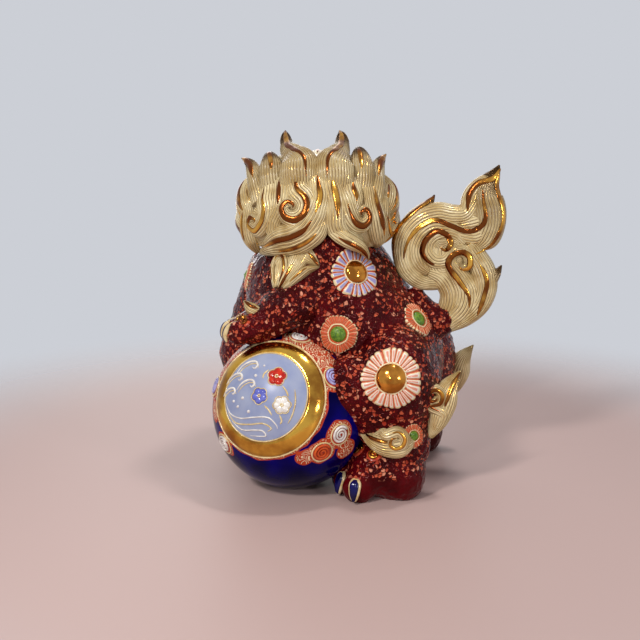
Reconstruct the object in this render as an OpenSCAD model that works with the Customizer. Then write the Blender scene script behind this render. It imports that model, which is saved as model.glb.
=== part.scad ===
// Glazed porcelain lion-dog with its paw on a brocade ball, built as the cast and hand-laid
// pieces that are luted together before firing. Millimetres, +Z up.
// The body faces -X, the head is turned to +Y, and the tail rises at +X.

/* [Ball] */
// Ball outer radius
ball_radius = 68; // [50:1:90]
// Rearmost reach of the ball, towards the hind foot
ball_rear = 52; // [44:1:58]
// Innermost reach of the ball, under the chest
ball_inner = 21; // [10:1:26]
// Gap between the ball and the rosette above it
ball_gap = 2; // [0.5:0.5:6]
// Height of the raised paw's middle above the ball's skin
paw_stand = 10.5; // [8:0.5:13]
// Amount ground off the ball to make its flat foot
ball_foot_drop = 2; // [1:0.5:6]
// Ball wall
ball_wall = 6; // [3:0.5:12]
// Vent in the ball's foot, radius
ball_vent = 5; // [3:0.5:9]

/* [Medallion] */
// Turn of the medallion from straight left, degrees
medal_turn = -11; // [-40:1:40]
// Rise of the medallion above level, degrees
medal_rise = 24; // [0:1:50]
// Half angle of the gold ring's outer edge, degrees
ring_outer = 43; // [36:1:55]
// Half angle where the ring meets the painted panel, degrees
ring_inner = 31.5; // [20:0.5:35]
// Height of the ring above the ball
ring_height = 1.6; // [0.8:0.2:4]
// Height of the panel above the ball
panel_height = 0.8; // [0.4:0.2:3]
// Radius of the snail studs on the ball
stud_radius = 9; // [6:0.5:12]
// Half thickness of a snail stud's coil
stud_coil = 1.9; // [1:0.1:3]

/* [Body] */
// Shoulder mass, centre
shoulder_at = [3, 0, 160];
// Shoulder mass, half sizes
shoulder_size = [68, 64, 62];
// Flank mass, centre
flank_at = [27, 0, 128];
// Flank mass, half sizes
flank_size = [64, 68, 58];
// Rump mass, centre
rump_at = [60, 0, 100];
// Rump mass, half sizes
rump_size = [50, 60, 64];
// Belly mass, centre
belly_at = [42, 0, 52];
// Belly mass, half sizes
belly_size = [44, 46, 42];
// Wall of the hollow castings
wall = 7; // [5:0.5:12]
// Bore of the neck passage, radius
neck_bore = 18; // [10:1:26]
// Vent under the belly, radius
belly_vent = 11; // [6:1:16]
// Slip joint between luted pieces
slip = 0.15; // [0.1:0.05:0.5]

/* [Legs] */
// Left haunch, centre
haunch_at = [70, -46, 92];
// Left haunch, half sizes
haunch_size = [40, 42, 50];
// Left hock, centre
hock_at = [77, -58, 44];
// Left hock, half sizes
hock_size = [24, 21, 24];
// Left knee, centre
knee_at = [36, -68, 93];
// Left knee, half sizes
knee_size = [20, 23, 26];
// Left heel, centre
heel_at = [78, -60, 17];
// Left heel, half sizes
heel_size = [20, 22, 22];
// Left instep, centre
instep_at = [60, -60, 22];
// Left instep, half sizes
instep_size = [26, 27, 24];
// Distance the right hind leg stands behind the left one
right_leg_back = 10; // [0:1:20]
// Toe half sizes
toe_size = [13, 8.5, 13];
// Claw length
claw_length = 17; // [10:1:24]
// Claw half thickness at its root
claw_root = 4.4; // [3:0.2:6]
// Gold knuckle snail radius
knuckle_radius = 6; // [4:0.5:8]
// Half thickness of a knuckle snail's coil
knuckle_coil = 1.3; // [0.8:0.1:2]

/* [Rosettes] */
// Shoulder rosette radius
shoulder_rosette = 20.5; // [14:0.5:26]
// Haunch rosette radius
haunch_rosette = 24; // [16:0.5:28]
// Flank and rump rosette radius
small_rosette = 15.5; // [10:0.5:20]
// Ankle rosette radius
ankle_rosette = 9.5; // [6:0.5:12]
// Chest rosette radius
chest_rosette = 13; // [9:0.5:18]
// Height of a rosette's petals at the boss
petal_height = 3.4; // [2:0.2:6]
// Height of a rosette's petals at the rim
petal_rim = 1.4; // [0.8:0.2:3]
// Depth of the flat where the boss sits, below the petals' crest
petal_dip = 0.6; // [0.2:0.1:1.5]
// Height of a boss per unit of its own radius
boss_rise = 0.55; // [0.3:0.05:0.9]
// Petals on each rosette
petals = 16; // [10:1:24]
// Boss radius as drawn on a rosette, per unit of its radius
boss_share = 0.46; // [0.3:0.02:0.6]

/* [Head] */
// Turn of the face from straight right, degrees
head_turn = 10; // [-10:1:30]
// Skull, centre in the head's own frame
skull_at = [-2, 34, 232];
// Skull, half sizes
skull_size = [50, 44, 44];
// Muzzle, centre
muzzle_at = [-2, 70, 224];
// Muzzle, half sizes
muzzle_size = [34, 22, 17];
// Lower jaw, centre
jaw_at = [-2, 66, 197];
// Lower jaw, half sizes
jaw_size = [27, 25, 10];
// Eye radius
eye_radius = 10.5; // [7:0.5:13]
// Eye distance from the middle of the face
eye_apart = 21; // [15:1:28]
// Height of the eyes
eye_height = 244; // [236:1:252]

/* [Mane] */
// Mane cap, centre in the head's own frame
mane_at = [-2, 0, 228];
// Mane cap, half sizes
mane_size = [66, 62, 52];
// Height of the mane's lower edge
mane_hem = 205; // [200:1:212]
// Depth of the mane's front edge
mane_front = 26; // [10:1:40]
// Height of the crown flame tips
crown_top = 300; // [290:1:320]

/* [Tail] */
// Half thickness of the tail plume
tail_half = 10; // [6:0.5:14]
// Half thickness of a barb of the tail
barb_half = 6.5; // [4:0.5:9]

/* [Hidden] */
ball_x = ball_rear - ball_radius;
ball_y = ball_inner - ball_radius;
ball_at = [ball_x, ball_y, ball_radius - ball_foot_drop];
shoulder = [shoulder_at, shoulder_size];
flank = [flank_at, flank_size];
rump = [rump_at, rump_size];
belly = [belly_at, belly_size];
haunch = [haunch_at, haunch_size];
hock = [hock_at, hock_size];
knee = [knee_at, knee_size];
instep = [instep_at, instep_size];
// Knuckle snails: longitudes round the foot, and their latitude.
hind_knuckles = [-150, -95];
hind_knuckle_lat = 46;
fore_knuckles = [-150, -112];
fore_knuckle_lat = 36;
// The drawing is moved so that the origin lies under the middle of the whole piece.
centre_shift = [-26.92, 9.81, 0];
big = 400;

maroon = [0.27, 0.04, 0.08];
cream = [0.85, 0.78, 0.6];
gold = [0.8, 0.6, 0.22];
cobalt = [0.06, 0.04, 0.4];
periwinkle = [0.64, 0.7, 0.85];
coral = [0.78, 0.3, 0.2];
white = [0.94, 0.92, 0.88];
green = [0.36, 0.52, 0.16];
red = [0.7, 0.12, 0.1];

function unit(v) = v / norm(v);
function blend(a, b, c, d, t) =
  0.5 * (2 * b + (c - a) * t + (2 * a - 5 * b + 4 * c - d) * t * t + (3 * b - a - 3 * c + d) * t * t * t);
// A smooth run through a few stations, each [x, y, z, half width, half height, face x, y, z].
function run(p, steps) = [
  for (i = [0 : len(p) - 2], k = [0 : steps - 1])
    blend(p[max(i - 1, 0)], p[i], p[i + 1], p[min(i + 2, len(p) - 1)], k / steps),
  p[len(p) - 1]
];
function place(s) = [s[0], s[1], s[2]];
function face(s) = [s[5], s[6], s[7]];
function along(s, i) = unit(place(s[min(i + 1, len(s) - 1)]) - place(s[max(i - 1, 0)]));
function section(s, i, sides) =
  let (t = along(s, i), b = unit(cross(face(s[i]), t)), n = cross(t, b))
  [for (j = [0 : sides - 1])
    place(s[i]) + s[i][3] * cos(360 * j / sides) * b + s[i][4] * sin(360 * j / sides) * n];
function skin_faces(rings, sides) = concat(
  [[for (j = [0 : sides - 1]) j]],
  [for (i = [0 : rings - 2], j = [0 : sides - 1])
    [i * sides + j, (i + 1) * sides + (j + 1) % sides, i * sides + (j + 1) % sides]],
  [for (i = [0 : rings - 2], j = [0 : sides - 1])
    [i * sides + j, (i + 1) * sides + j, (i + 1) * sides + (j + 1) % sides]],
  [[for (j = [sides - 1 : -1 : 0]) (rings - 1) * sides + j]]
);
// A lock of hair: a rounded ribbon skinned along its stations.
module lock(stations, steps = 3, sides = 6) {
  s = run(stations, steps);
  polyhedron(
    points = [for (i = [0 : len(s) - 1]) each section(s, i, sides)],
    faces = skin_faces(len(s), sides),
    convexity = 6
  );
}
function flat(x, z, w, h, y = 0, f = [0, -1, 0]) = concat([x, y, z, w, h], f);
function at(p, w, h, f) = concat(p, [w, h], f);
// A station on the back of the mane cap, over a point seen from behind.
function mane_share(x, z) =
  1 - pow((x - mane_at[0]) / mane_size[0], 2) - pow((z - mane_at[2]) / mane_size[2], 2);
function mane_point(x, z) = [x, mane_at[1] - mane_size[1] * sqrt(max(mane_share(x, z), 0.02)), z];
function mane_facing(p) = unit([
  (p[0] - mane_at[0]) / pow(mane_size[0], 2),
  (p[1] - mane_at[1]) / pow(mane_size[1], 2),
  (p[2] - mane_at[2]) / pow(mane_size[2], 2)
]);
function nape(x, z, w, h) = let (p = mane_point(x, z)) at(p, w, h, mane_facing(p));
// Stations that wind a lock's end into a snail on the mane cap.
function nape_snail(x, z, r, from, turn, w, h) = [
  for (k = [0 : 5]) let (a = from + turn * k / 5, q = r * (1 - 0.14 * k))
    nape(x + q * cos(a), z + q * sin(a), w * (1 - 0.1 * k), h)
];
// A flat snail of one rounded coil, lying on local z = 0.
module snail(r, coil, turns = 1.5, rings = 11) {
  s = [for (k = [0 : rings])
    let (a = 360 * turns * k / rings, q = (r - coil) * (1 - 0.8 * k / rings))
      [q * cos(a), q * sin(a), 0, coil * (1 - 0.35 * k / rings), coil, 0, 0, 1]];
  polyhedron(
    points = [for (i = [0 : rings]) each section(s, i, 5)],
    faces = skin_faces(rings + 1, 5),
    convexity = 8
  );
}
module ovoid(o, fn = 14) translate(o[0]) scale(o[1]) sphere(1, $fn = fn);
module lump(at, size, fn = 10) translate(at) scale(size) sphere(1, $fn = fn);
function shrunk(o, t) = [o[0], o[1] - [t, t, t]];
// One casting: its children become one skin at the size drawn.
module casting() resize([0, 0, 0]) children();
function on(o, lon, lat) =
  o[0] + [o[1][0] * cos(lat) * cos(lon), o[1][1] * cos(lat) * sin(lon), o[1][2] * sin(lat)];
function out(o, p) = unit([
  (p[0] - o[0][0]) / pow(o[1][0], 2),
  (p[1] - o[0][1]) / pow(o[1][1], 2),
  (p[2] - o[0][2]) / pow(o[1][2], 2)
]);
module facing(p, n) translate(p) rotate([0, acos(n[2]), atan2(n[1], n[0])]) children();
module head_frame() rotate([0, 0, head_turn]) children();
module other_side() translate([right_leg_back, 0, 0]) mirror([0, 1, 0]) children();
module below_floor() translate([-big / 2, -big / 2, -big]) cube([big, big, big]);

// Ball and its medallion.
// The faceted stand-in for the ball that cuts its neighbours stays outside the true sphere.
clear_sides = 32;
module ball_clear(extra = 0)
  translate(ball_at) sphere((ball_radius + slip) / pow(cos(180 / clear_sides), 2) + extra, $fn = clear_sides);
module medal_frame() translate(ball_at) rotate([0, 0, medal_turn]) rotate([90 - medal_rise, 0, 0]) children();
module cap_profile(inner, outer, from, to) {
  difference() {
    intersection() {
      circle(outer, $fn = 96);
      polygon([[0, 0], 2 * outer * [sin(from), cos(from)], 2 * outer * [sin(to), cos(to)]]);
    }
    circle(inner, $fn = 96);
  }
}
// Turn and rise of each snail stud round the ball, degrees.
stud_spots = [[34, 74], [48, 34], [46, -5], [33, -16], [-46, -17], [-69, 19]];
pad_reach = sqrt(ball_radius * ball_radius - stud_radius * stud_radius);
module stud_frame(s) translate(ball_at) rotate([0, 0, s[0]]) rotate([90 - s[1], 0, 0]) translate([0, 0, pad_reach]) children();
module ball() color(cobalt) {
  difference() {
    translate(ball_at) sphere(ball_radius, $fn = 96);
    below_floor();
    translate(ball_at) sphere(ball_radius - ball_wall, $fn = 96);
    translate([ball_x, ball_y, -1]) cylinder(h = ball_at[2], r = ball_vent, $fn = 32);
    for (s = stud_spots) stud_frame(s) cylinder(h = 2 * stud_coil, r = stud_radius + 2, $fn = 32);
  }
}
module medallion_ring() color(gold) medal_frame()
  rotate_extrude($fn = 96) cap_profile(ball_radius + slip, ball_radius + ring_height, ring_inner, ring_outer);
module medallion_panel() color(periwinkle) medal_frame()
  rotate_extrude($fn = 96) cap_profile(ball_radius + slip, ball_radius + panel_height, 0, ring_inner - 0.2);
module ball_studs() color(white) {
  for (s = stud_spots) stud_frame(s) translate([0, 0, stud_coil]) snail(stud_radius, stud_coil);
}

// Room for the ring and the studs in whatever leans on the ball.
module ball_dressing_clear() {
  medal_frame() rotate_extrude($fn = 32)
    cap_profile(ball_radius - 2, ball_radius + ring_height + 3 * slip, ring_inner - 1, ring_outer + 0.5);
  for (s = stud_spots) stud_frame(s) translate([0, 0, -1])
    cylinder(h = 2 * stud_coil + 1 + 2 * slip, r = stud_radius + 3 * slip, $fn = 16);
}

// Body and legs.
module body_form() {
  hull() {
    ovoid(shrunk(shoulder, 5), 12);
    ovoid(shrunk(rump, 5), 12);
  }
  ovoid(shoulder, 20);
  ovoid(flank, 20);
  ovoid(rump, 20);
  ovoid(belly, 12);
}
module body_core() {
  difference() {
    union() {
      hull() {
        ovoid(shrunk(shoulder, 5 + wall), 12);
        ovoid(shrunk(rump, 5 + wall), 12);
      }
      ovoid(shrunk(belly, wall), 12);
    }
    ball_clear(wall);
  }
}
// Seats are flat pads cut where a rosette's rim meets the curve.
function seat_depth(o, r) = r * r / (2.3 * min(o[1]));
module at_seat(o, lon, lat, r) {
  p = on(o, lon, lat);
  facing(p - seat_depth(o, r) * out(o, p), out(o, p)) children();
}
// The flank rosette stands just clear above the ball, whatever the ball's size.
flank_reach = small_rosette
  + sqrt(pow(ball_radius + ball_gap, 2) - pow(flank_at[1] - flank_size[1] - ball_y, 2));
flank_rise = ball_at[2] + sqrt(pow(flank_reach, 2) - pow(flank_at[0] - ball_x, 2)) - flank_at[2];
flank_lat = asin(flank_rise / flank_size[2]);
// Each rosette: carrier, longitude, latitude, radius.
function left_spots() = [
  [shoulder, -56, 23, shoulder_rosette],
  [flank, -90, flank_lat, small_rosette],
  [rump, -40, 42, small_rosette],
  [haunch, -87, 16, haunch_rosette],
  [hock, -58, 27, ankle_rosette]
];
chest_spot = [shoulder, -167, 14, chest_rosette];
module seat_cut(s) at_seat(s[0], s[1], s[2], s[3]) cylinder(h = 30, r = s[3] + 3 * slip, $fn = 20);
module body() color(maroon) casting() difference() {
  body_form();
  body_core();
  ball_clear();
  ball_dressing_clear();
  translate([belly_at[0], 0, -1]) cylinder(h = belly_at[2], r = belly_vent, $fn = 12);
  translate([shoulder_at[0], 0, shoulder_at[2]]) cylinder(h = big, r = neck_bore, $fn = 16);
  for (i = [0 : 2]) {
    seat_cut(left_spots()[i]);
    mirror([0, 1, 0]) seat_cut(left_spots()[i]);
  }
  seat_cut(chest_spot);
}
module haunch_form() {
  ovoid(haunch, 20);
  hull() {
    ovoid(shrunk(haunch, 14), 12);
    ovoid(hock, 14);
  }
  ovoid(knee, 14);
  hull() {
    ovoid(shrunk(knee, 4), 12);
    ovoid(hock, 14);
  }
}
module left_haunch() color(maroon) casting() difference() {
  haunch_form();
  ovoid(shrunk(haunch, wall), 12);
  body_form();
  ball_clear();
  foot_form();
  ball_dressing_clear();
  for (i = [1 : 4]) seat_cut(left_spots()[i]);
}
module right_haunch() color(maroon) casting() difference() {
  other_side() haunch_form();
  other_side() ovoid(shrunk(haunch, wall), 12);
  body_form();
  other_side() foot_form();
  mirror([0, 1, 0]) seat_cut(left_spots()[2]);
  other_side() for (i = [3 : 4]) seat_cut(left_spots()[i]);
}
// Toes fan round the front of the instep: offset along and across, from the instep's centre, and
// the way that each one's claw is turned out from straight ahead.
toe_spots = [[-14, -22, 78], [-24, -8, 50], [-24, 8, 18], [-15, 22, -18]];
module foot_form() {
  hull() {
    lump(heel_at, heel_size, 12);
    lump(instep_at, instep_size, 14);
  }
  for (t = toe_spots) lump([instep_at[0] + t[0], instep_at[1] + t[1], toe_size[2] - 2], toe_size);
}
module left_hind_foot() color(maroon) casting() difference() {
  foot_form();
  below_floor();
  ball_clear();
  ball_dressing_clear();
  knuckle_pads(instep, hind_knuckles, hind_knuckle_lat);
}
module right_hind_foot() color(maroon) casting() difference() {
  other_side() foot_form();
  below_floor();
  other_side() knuckle_pads(instep, hind_knuckles, hind_knuckle_lat);
}
// A claw curls from a toe's front and down toward its tip. It is turned about the toe.
function toe_reach(size, turn) = 1 / sqrt(pow(cos(turn) / size[0], 2) + pow(sin(turn) / size[1], 2));
module claw(at, size, drop, turn = 0) translate(at) rotate(turn) {
  reach = toe_reach(size, turn);
  root = [-reach * 0.8, 0, size[2] * 0.35];
  bend = [-reach - 2.5, 0, size[2] * 0.35 - claw_length * 0.45];
  tip = [-reach - 1.5, 0, drop - claw_length * 0.62];
  hull() {
    lump(root, [claw_root, claw_root * 0.8, claw_root], 6);
    lump(bend, [claw_root * 0.7, claw_root * 0.6, claw_root], 6);
  }
  hull() {
    lump(bend, [claw_root * 0.7, claw_root * 0.6, claw_root], 6);
    lump(tip, [1.2, 1.4, 1.2], 6);
  }
}
module hind_claws() for (t = toe_spots)
  claw([instep_at[0] + t[0], instep_at[1] + t[1], toe_size[2] - 2], toe_size, toe_size[2] * 0.35 + 1, t[2]);
module left_hind_claws() color(cobalt) casting() difference() {
  hind_claws();
  foot_form();
  ball_clear();
  ball_dressing_clear();
  below_floor();
}
module right_hind_claws() color(cobalt) casting() difference() {
  other_side() hind_claws();
  other_side() foot_form();
  below_floor();
}
// Left foreleg: raised, its paw on the ball. Each entry is a centre and half sizes.
// The paw rests on the ball's skin, and the forearm and elbow follow the paw.
left_paw = [ball_at + (ball_radius + paw_stand) * unit([-28, -14, 72]), [17, 20, 14]];
left_arm = [[[-6, -38, 166], [36, 29, 32]], [left_paw[0] + [28, 4, 18], [26, 20, 17]],
  [left_paw[0] + [8, 1, 5], [20, 19, 15]]];
left_toes = [[-10, -15], [-15, -5], [-15, 6], [-9, 16]];
fore_toe = [10, 6.5, 10];
module left_foreleg_form() {
  hull() {
    ovoid(left_arm[0], 14);
    ovoid(left_arm[1], 12);
  }
  hull() {
    ovoid(left_arm[1], 12);
    ovoid(left_arm[2], 12);
    ovoid(left_paw, 12);
  }
  for (t = left_toes) lump(left_paw[0] + [t[0], t[1], -2], fore_toe);
}
module left_foreleg() color(maroon) casting() difference() {
  left_foreleg_form();
  body_form();
  ball_clear();
  ball_dressing_clear();
  for (i = [0 : 1]) seat_cut(left_spots()[i]);
  knuckle_pads(left_paw, fore_knuckles, fore_knuckle_lat);
}
module left_fore_claws() color(cobalt) casting() difference() {
  for (t = left_toes) claw(left_paw[0] + [t[0], t[1], -2], fore_toe, 2);
  left_foreleg_form();
  ball_clear();
  ball_dressing_clear();
}
// Right foreleg: straight down to the floor beside the ball.
right_arm = [[[-43, 38, 164], [34, 30, 38]], [[-76, 44, 92], [29, 25, 30]], [[-66, 46, 40], [22, 21, 22]]];
right_paw = [[-62, 47, 17], [26, 25, 21]];
right_toes = [[-14, -20], [-22, -7], [-22, 7], [-14, 20]];
mirrored_paw = [[right_paw[0][0], -right_paw[0][1], right_paw[0][2]], right_paw[1]];
module right_foreleg_core() hull() {
  ovoid(shrunk(right_arm[0], wall), 10);
  ovoid(shrunk(right_arm[1], wall), 10);
}
module right_foreleg_form() {
  hull() {
    ovoid(right_arm[0], 14);
    ovoid(right_arm[1], 12);
  }
  hull() {
    ovoid(right_arm[1], 12);
    ovoid(right_arm[2], 12);
  }
  hull() {
    ovoid(right_arm[2], 12);
    ovoid(right_paw, 12);
  }
  for (t = right_toes) lump([right_paw[0][0] + t[0], right_paw[0][1] + t[1], toe_size[2] - 2], toe_size);
}
module right_foreleg() color(maroon) casting() difference() {
  right_foreleg_form();
  right_foreleg_core();
  body_form();
  ball_clear();
  below_floor();
  mirror([0, 1, 0]) knuckle_pads(mirrored_paw, fore_knuckles, fore_knuckle_lat);
}
module right_fore_claws() color(cobalt) casting() difference() {
  for (t = right_toes)
    claw([right_paw[0][0] + t[0], right_paw[0][1] + t[1], toe_size[2] - 2], toe_size, toe_size[2] * 0.35 + 1);
  right_foreleg_form();
  ball_clear();
  below_floor();
}
// Gold snails on the knuckles, each on a small flat pad of the instep or paw.
module knuckles(o, lons, lat) for (lon = lons) at_seat(o, lon, lat, knuckle_radius)
  translate([0, 0, knuckle_coil]) snail(knuckle_radius, knuckle_coil, 1.4, 9);
module knuckle_pads(o, lons, lat) for (lon = lons) at_seat(o, lon, lat, knuckle_radius)
  cylinder(h = 10, r = knuckle_radius + 1, $fn = 10);
module knuckle_snails() color(gold) {
  knuckles(instep, hind_knuckles, hind_knuckle_lat);
  other_side() knuckles(instep, hind_knuckles, hind_knuckle_lat);
  knuckles(left_paw, fore_knuckles, fore_knuckle_lat);
  mirror([0, 1, 0]) knuckles(mirrored_paw, fore_knuckles, fore_knuckle_lat);
}

// Head, in its own turned frame.
module mirrored() {
  children();
  translate([2 * skull_at[0], 0, 0]) mirror([1, 0, 0]) children();
}
eye_at = [skull_at[0] - eye_apart, skull_at[1] + 33, eye_height];
module head_form() {
  lump(skull_at, skull_size, 20);
  lump(muzzle_at, muzzle_size, 16);
  mirrored() lump([skull_at[0] - 30, 54, 220], [19, 20, 19], 12);
  mirrored() hull() {
    lump(eye_at + [10, 4, 8], [8, 8, 6], 8);
    lump(eye_at + [-12, -4, 10], [8, 8, 6], 8);
  }
}
module mouth_cut() lump([muzzle_at[0], muzzle_at[1] + 12, 207], [26, 34, 8.5], 14);
module head() color(maroon) casting() difference() {
  head_frame() difference() {
    head_form();
    mouth_cut();
    lump(skull_at - [0, 4, 0], skull_size - [wall, wall + 4, wall], 12);
    mirrored() translate(eye_at) sphere((eye_radius + slip) / pow(cos(180 / 16), 2), $fn = 16);
  }
  body_form();
}
module jaw_form() hull() {
  lump(jaw_at, jaw_size, 16);
  lump(jaw_at + [0, 12, -1], [jaw_size[0] * 0.72, 18, jaw_size[2] * 0.85], 14);
}
module lower_jaw() color(maroon) casting() difference() {
  head_frame() difference() {
    jaw_form();
    head_form();
    mouth_cut();
  }
  body_form();
}
module tongue_form() lump([jaw_at[0], jaw_at[1] + 12, 201.5], [13, 20, 5], 14);
module tongue() color(red) casting() head_frame() difference() {
  tongue_form();
  difference() {
    jaw_form();
    mouth_cut();
  }
  difference() {
    head_form();
    mouth_cut();
  }
}
// Teeth stand round an arc of the mouth, the two end ones long.
module teeth(at, arc_x, arc_y, count, size, fang, dir) {
  for (k = [0 : count - 1])
    let (a = -58 + 116 * k / (count - 1), long = (k == 0 || k == count - 1))
      lump(at + [arc_x * sin(a), arc_y * cos(a), long ? dir * fang * 0.4 : 0],
        long ? [size * 1.2, size * 1.2, fang] : [size, size * 0.9, size * 1.5], 7);
}
module upper_teeth() color(white) casting() head_frame() difference() {
  teeth([muzzle_at[0], muzzle_at[1] - 1, 213], 25, 20, 8, 3.2, 8, -1);
  difference() {
    head_form();
    mouth_cut();
  }
  tongue_form();
}
module lower_teeth() color(white) casting() head_frame() difference() {
  teeth([jaw_at[0], jaw_at[1] + 9, 201], 19, 17, 6, 2.8, 6, 1);
  difference() {
    jaw_form();
    mouth_cut();
  }
  difference() {
    head_form();
    mouth_cut();
  }
  tongue_form();
  teeth([muzzle_at[0], muzzle_at[1] - 1, 213], 25, 20, 8, 3.2 + slip, 8, -1);
}
nose_at = [muzzle_at[0], muzzle_at[1] + 18, 234];
module nose_form() {
  lump(nose_at, [11, 9, 9], 14);
  mirrored() lump(nose_at + [-10, -3, -3], [8, 8, 7], 12);
}
module nose() color(gold) casting() head_frame() difference() {
  nose_form();
  head_form();
  mirrored() lump(nose_at + [-9, 6, -5], [3.4, 5, 3], 10);
}
module eyes() color(white) head_frame() {
  translate(eye_at) sphere(eye_radius, $fn = 64);
  translate([2 * skull_at[0] - eye_at[0], eye_at[1], eye_at[2]]) sphere(eye_radius, $fn = 64);
}
module eyebrows() color(cream) casting() head_frame() difference() {
  mirrored() lock([
    at(eye_at + [14, 12, 6], 3, 3, [0, 0.9, 0.3]),
    at(eye_at + [7, 13, 14], 6, 5, [0, 0.9, 0.4]),
    at(eye_at + [-6, 8, 19], 7, 5, [-0.2, 0.8, 0.4]),
    at(eye_at + [-16, 1, 22], 4.5, 4, [-0.4, 0.7, 0.3]),
    at(eye_at + [-21, -2, 30], 0.8, 0.8, [-0.5, 0.7, 0.2])
  ], 2);
  head_form();
  mirrored() translate(eye_at) sphere((eye_radius + slip) / pow(cos(180 / 16), 2), $fn = 16);
}
module ear_form() difference() {
  hull() {
    lump([skull_at[0] - 48, 40, 238], [9, 7, 15], 14);
    lump([skull_at[0] - 62, 47, 234], [4, 4, 6], 10);
  }
  hull() {
    lump([skull_at[0] - 51, 47, 238], [5, 6, 10], 12);
    lump([skull_at[0] - 61, 52, 234], [2, 4, 3], 8);
  }
}
module left_ear() color(maroon) casting() head_frame() difference() {
  ear_form();
  head_form();
}
module right_ear() color(maroon) casting() head_frame() difference() {
  translate([2 * skull_at[0], 0, 0]) mirror([1, 0, 0]) ear_form();
  head_form();
}
// Beard: five tapered locks hung round the jaw.
module beard() color(cream) casting() difference() {
  head_frame() for (k = [-2 : 2])
    let (x = jaw_at[0] + 13.5 * k, y = jaw_at[1] + 12 - 4.5 * k * k, f = unit([0.25 * k, 0.9, 0]))
      lock([
        at([x * 0.92, y, 195], 6.5, 6, f),
        at([x, y + 4, 187], 7.5, 6, f),
        at([x * 1.05, y + 4, 177 + 1.5 * k * k], 5, 4, f),
        at([x * 1.1 + 3, y + 7, 168 + 2 * k * k], 0.8, 0.8, f)
      ], 3);
  head_frame() {
    jaw_form();
    head_form();
  }
  body_form();
  right_foreleg_form();
}

// Mane, in the head's frame.
module mane_form() intersection() {
  lump(mane_at, mane_size, 22);
  translate([-big / 2, mane_front - big, mane_hem]) cube([big, big, big]);
}
module mane_cap() color(cream) casting() difference() {
  head_frame() difference() {
    mane_form();
    head_form();
    intersection() {
      lump(mane_at, mane_size - [wall, wall, wall], 12);
      translate([-big / 2, mane_front - wall - big, mane_hem + wall]) cube([big, big, big]);
    }
  }
  body_form();
}
// A lock laid on the mane: the first child, trimmed by the cap, the head and the locks laid before it.
module on_mane() color(cream) casting() difference() {
  head_frame() difference() {
    children(0);
    mane_form();
    head_form();
    if ($children > 1) children([1 : $children - 1]);
  }
  body_form();
}
up_face = [0, -1, 0.15];
module left_crown_flame_form() lock([
  at([-17, -44, 260], 14, 8, up_face),
  at([-17, -41, 270], 15, 9, up_face),
  at([-18, -27, 279], 14.5, 9, up_face),
  at([-23, -16, 284], 10, 8, up_face),
  at([-28, -5, 290], 5, 6, up_face),
  at([-30, 0, crown_top], 0.8, 0.8, up_face)
]);
module right_crown_flame_form() lock([
  at([11.5, -44, 260], 14, 8, up_face),
  at([11.5, -41, 270], 15, 9, up_face),
  at([12, -27, 279], 14, 9, up_face),
  at([15, -16, 284], 10.5, 8, up_face),
  at([18.5, -5, 290.5], 6, 6, up_face),
  at([17, 0, crown_top], 0.8, 0.8, up_face)
]);
module left_temple_flames_form() {
  lock([
    at([-38, -40, 250], 12, 9, up_face),
    at([-40, -30, 266], 10.5, 8, up_face),
    at([-41.5, -21, 275], 8, 7, up_face),
    at([-43, -14, 281], 0.8, 0.8, up_face)
  ]);
  lock([
    at([-48, -34, 242], 11, 8, up_face),
    at([-52, -27, 258], 9, 8, up_face),
    at([-56, -19, 267], 6.5, 6, up_face),
    at([-61, -11, 272.5], 4, 4.5, up_face),
    at([-67, -6, 276.5], 0.8, 0.8, up_face)
  ]);
}
module right_temple_flames_form() {
  lock([
    at([33, -40, 250], 12, 9, up_face),
    at([34.5, -30, 266], 10.5, 8, up_face),
    at([33.5, -21, 277], 8, 7, up_face),
    at([32, -14, 285], 0.8, 0.8, up_face)
  ]);
  lock([
    at([42.5, -35, 243], 11, 8, up_face),
    at([45, -28, 259], 9, 8, up_face),
    at([48, -20, 268], 6.5, 6, up_face),
    at([51.5, -12, 274.5], 4, 4.5, up_face),
    at([56.5, -7, 280], 0.8, 0.8, up_face)
  ]);
}
// Side curls: the round lock at the ear line, the outer snail lock and the heel of the mane.
module left_side_curls_form() {
  lock([nape(-56, 260, 4, 5), nape(-61, 250, 9, 8), nape(-62, 240, 9, 8), nape(-61, 230, 4, 4)], 2);
  lock(concat([nape(-44, 256, 5, 5), nape(-41, 242, 7, 6), nape(-42, 232, 5, 5)],
    nape_snail(-51, 224, 9, 30, -400, 3.2, 5)), 2);
  lock([nape(-58, 226, 5, 5), nape(-62, 215, 9, 8), nape(-60, 206, 7, 7), nape(-54, 203, 1, 2)], 2);
}
module right_side_curls_form() {
  lock([nape(52, 260, 4, 5), nape(57, 250, 9, 8), nape(58, 240, 9, 8), nape(57, 230, 4, 4)], 2);
  lock([nape(43, 256, 6, 5), nape(44, 240, 9, 7), nape(47, 224, 10, 8), nape(50, 211, 9, 8), nape(47, 202, 3, 3)], 2);
  lock(concat([nape(14, 264, 5, 5), nape(17, 248, 8, 6), nape(20, 238, 6, 5)],
    nape_snail(30, 231, 9, 150, 400, 3.2, 5)), 2);
}
module left_nape_lock_form() {
  lock(concat([nape(-28, 260, 6, 5), nape(-15, 250, 8, 6), nape(-11, 240, 6, 5)],
    nape_snail(-22, 231, 9, 30, -400, 3.2, 5)), 2);
  lock([
    nape(-4, 262, 5, 5), nape(-1, 246, 8, 6), nape(-2, 231, 9, 7), nape(-8, 218, 10, 8),
    nape(-22, 211, 9, 8), nape(-38, 207, 7, 6), nape(-50, 199, 0.8, 1)
  ], 2);
}
module right_nape_lock_form() lock([
  nape(8, 256, 5, 5), nape(7, 240, 8, 6), nape(9, 224, 9, 7), nape(19, 212, 9, 8),
  nape(33, 204, 6, 6), nape(41, 191, 0.8, 1)
], 2);
module left_nape_lock() on_mane() left_nape_lock_form();
module right_nape_lock() on_mane() {
  right_nape_lock_form();
  left_nape_lock_form();
}
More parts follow.
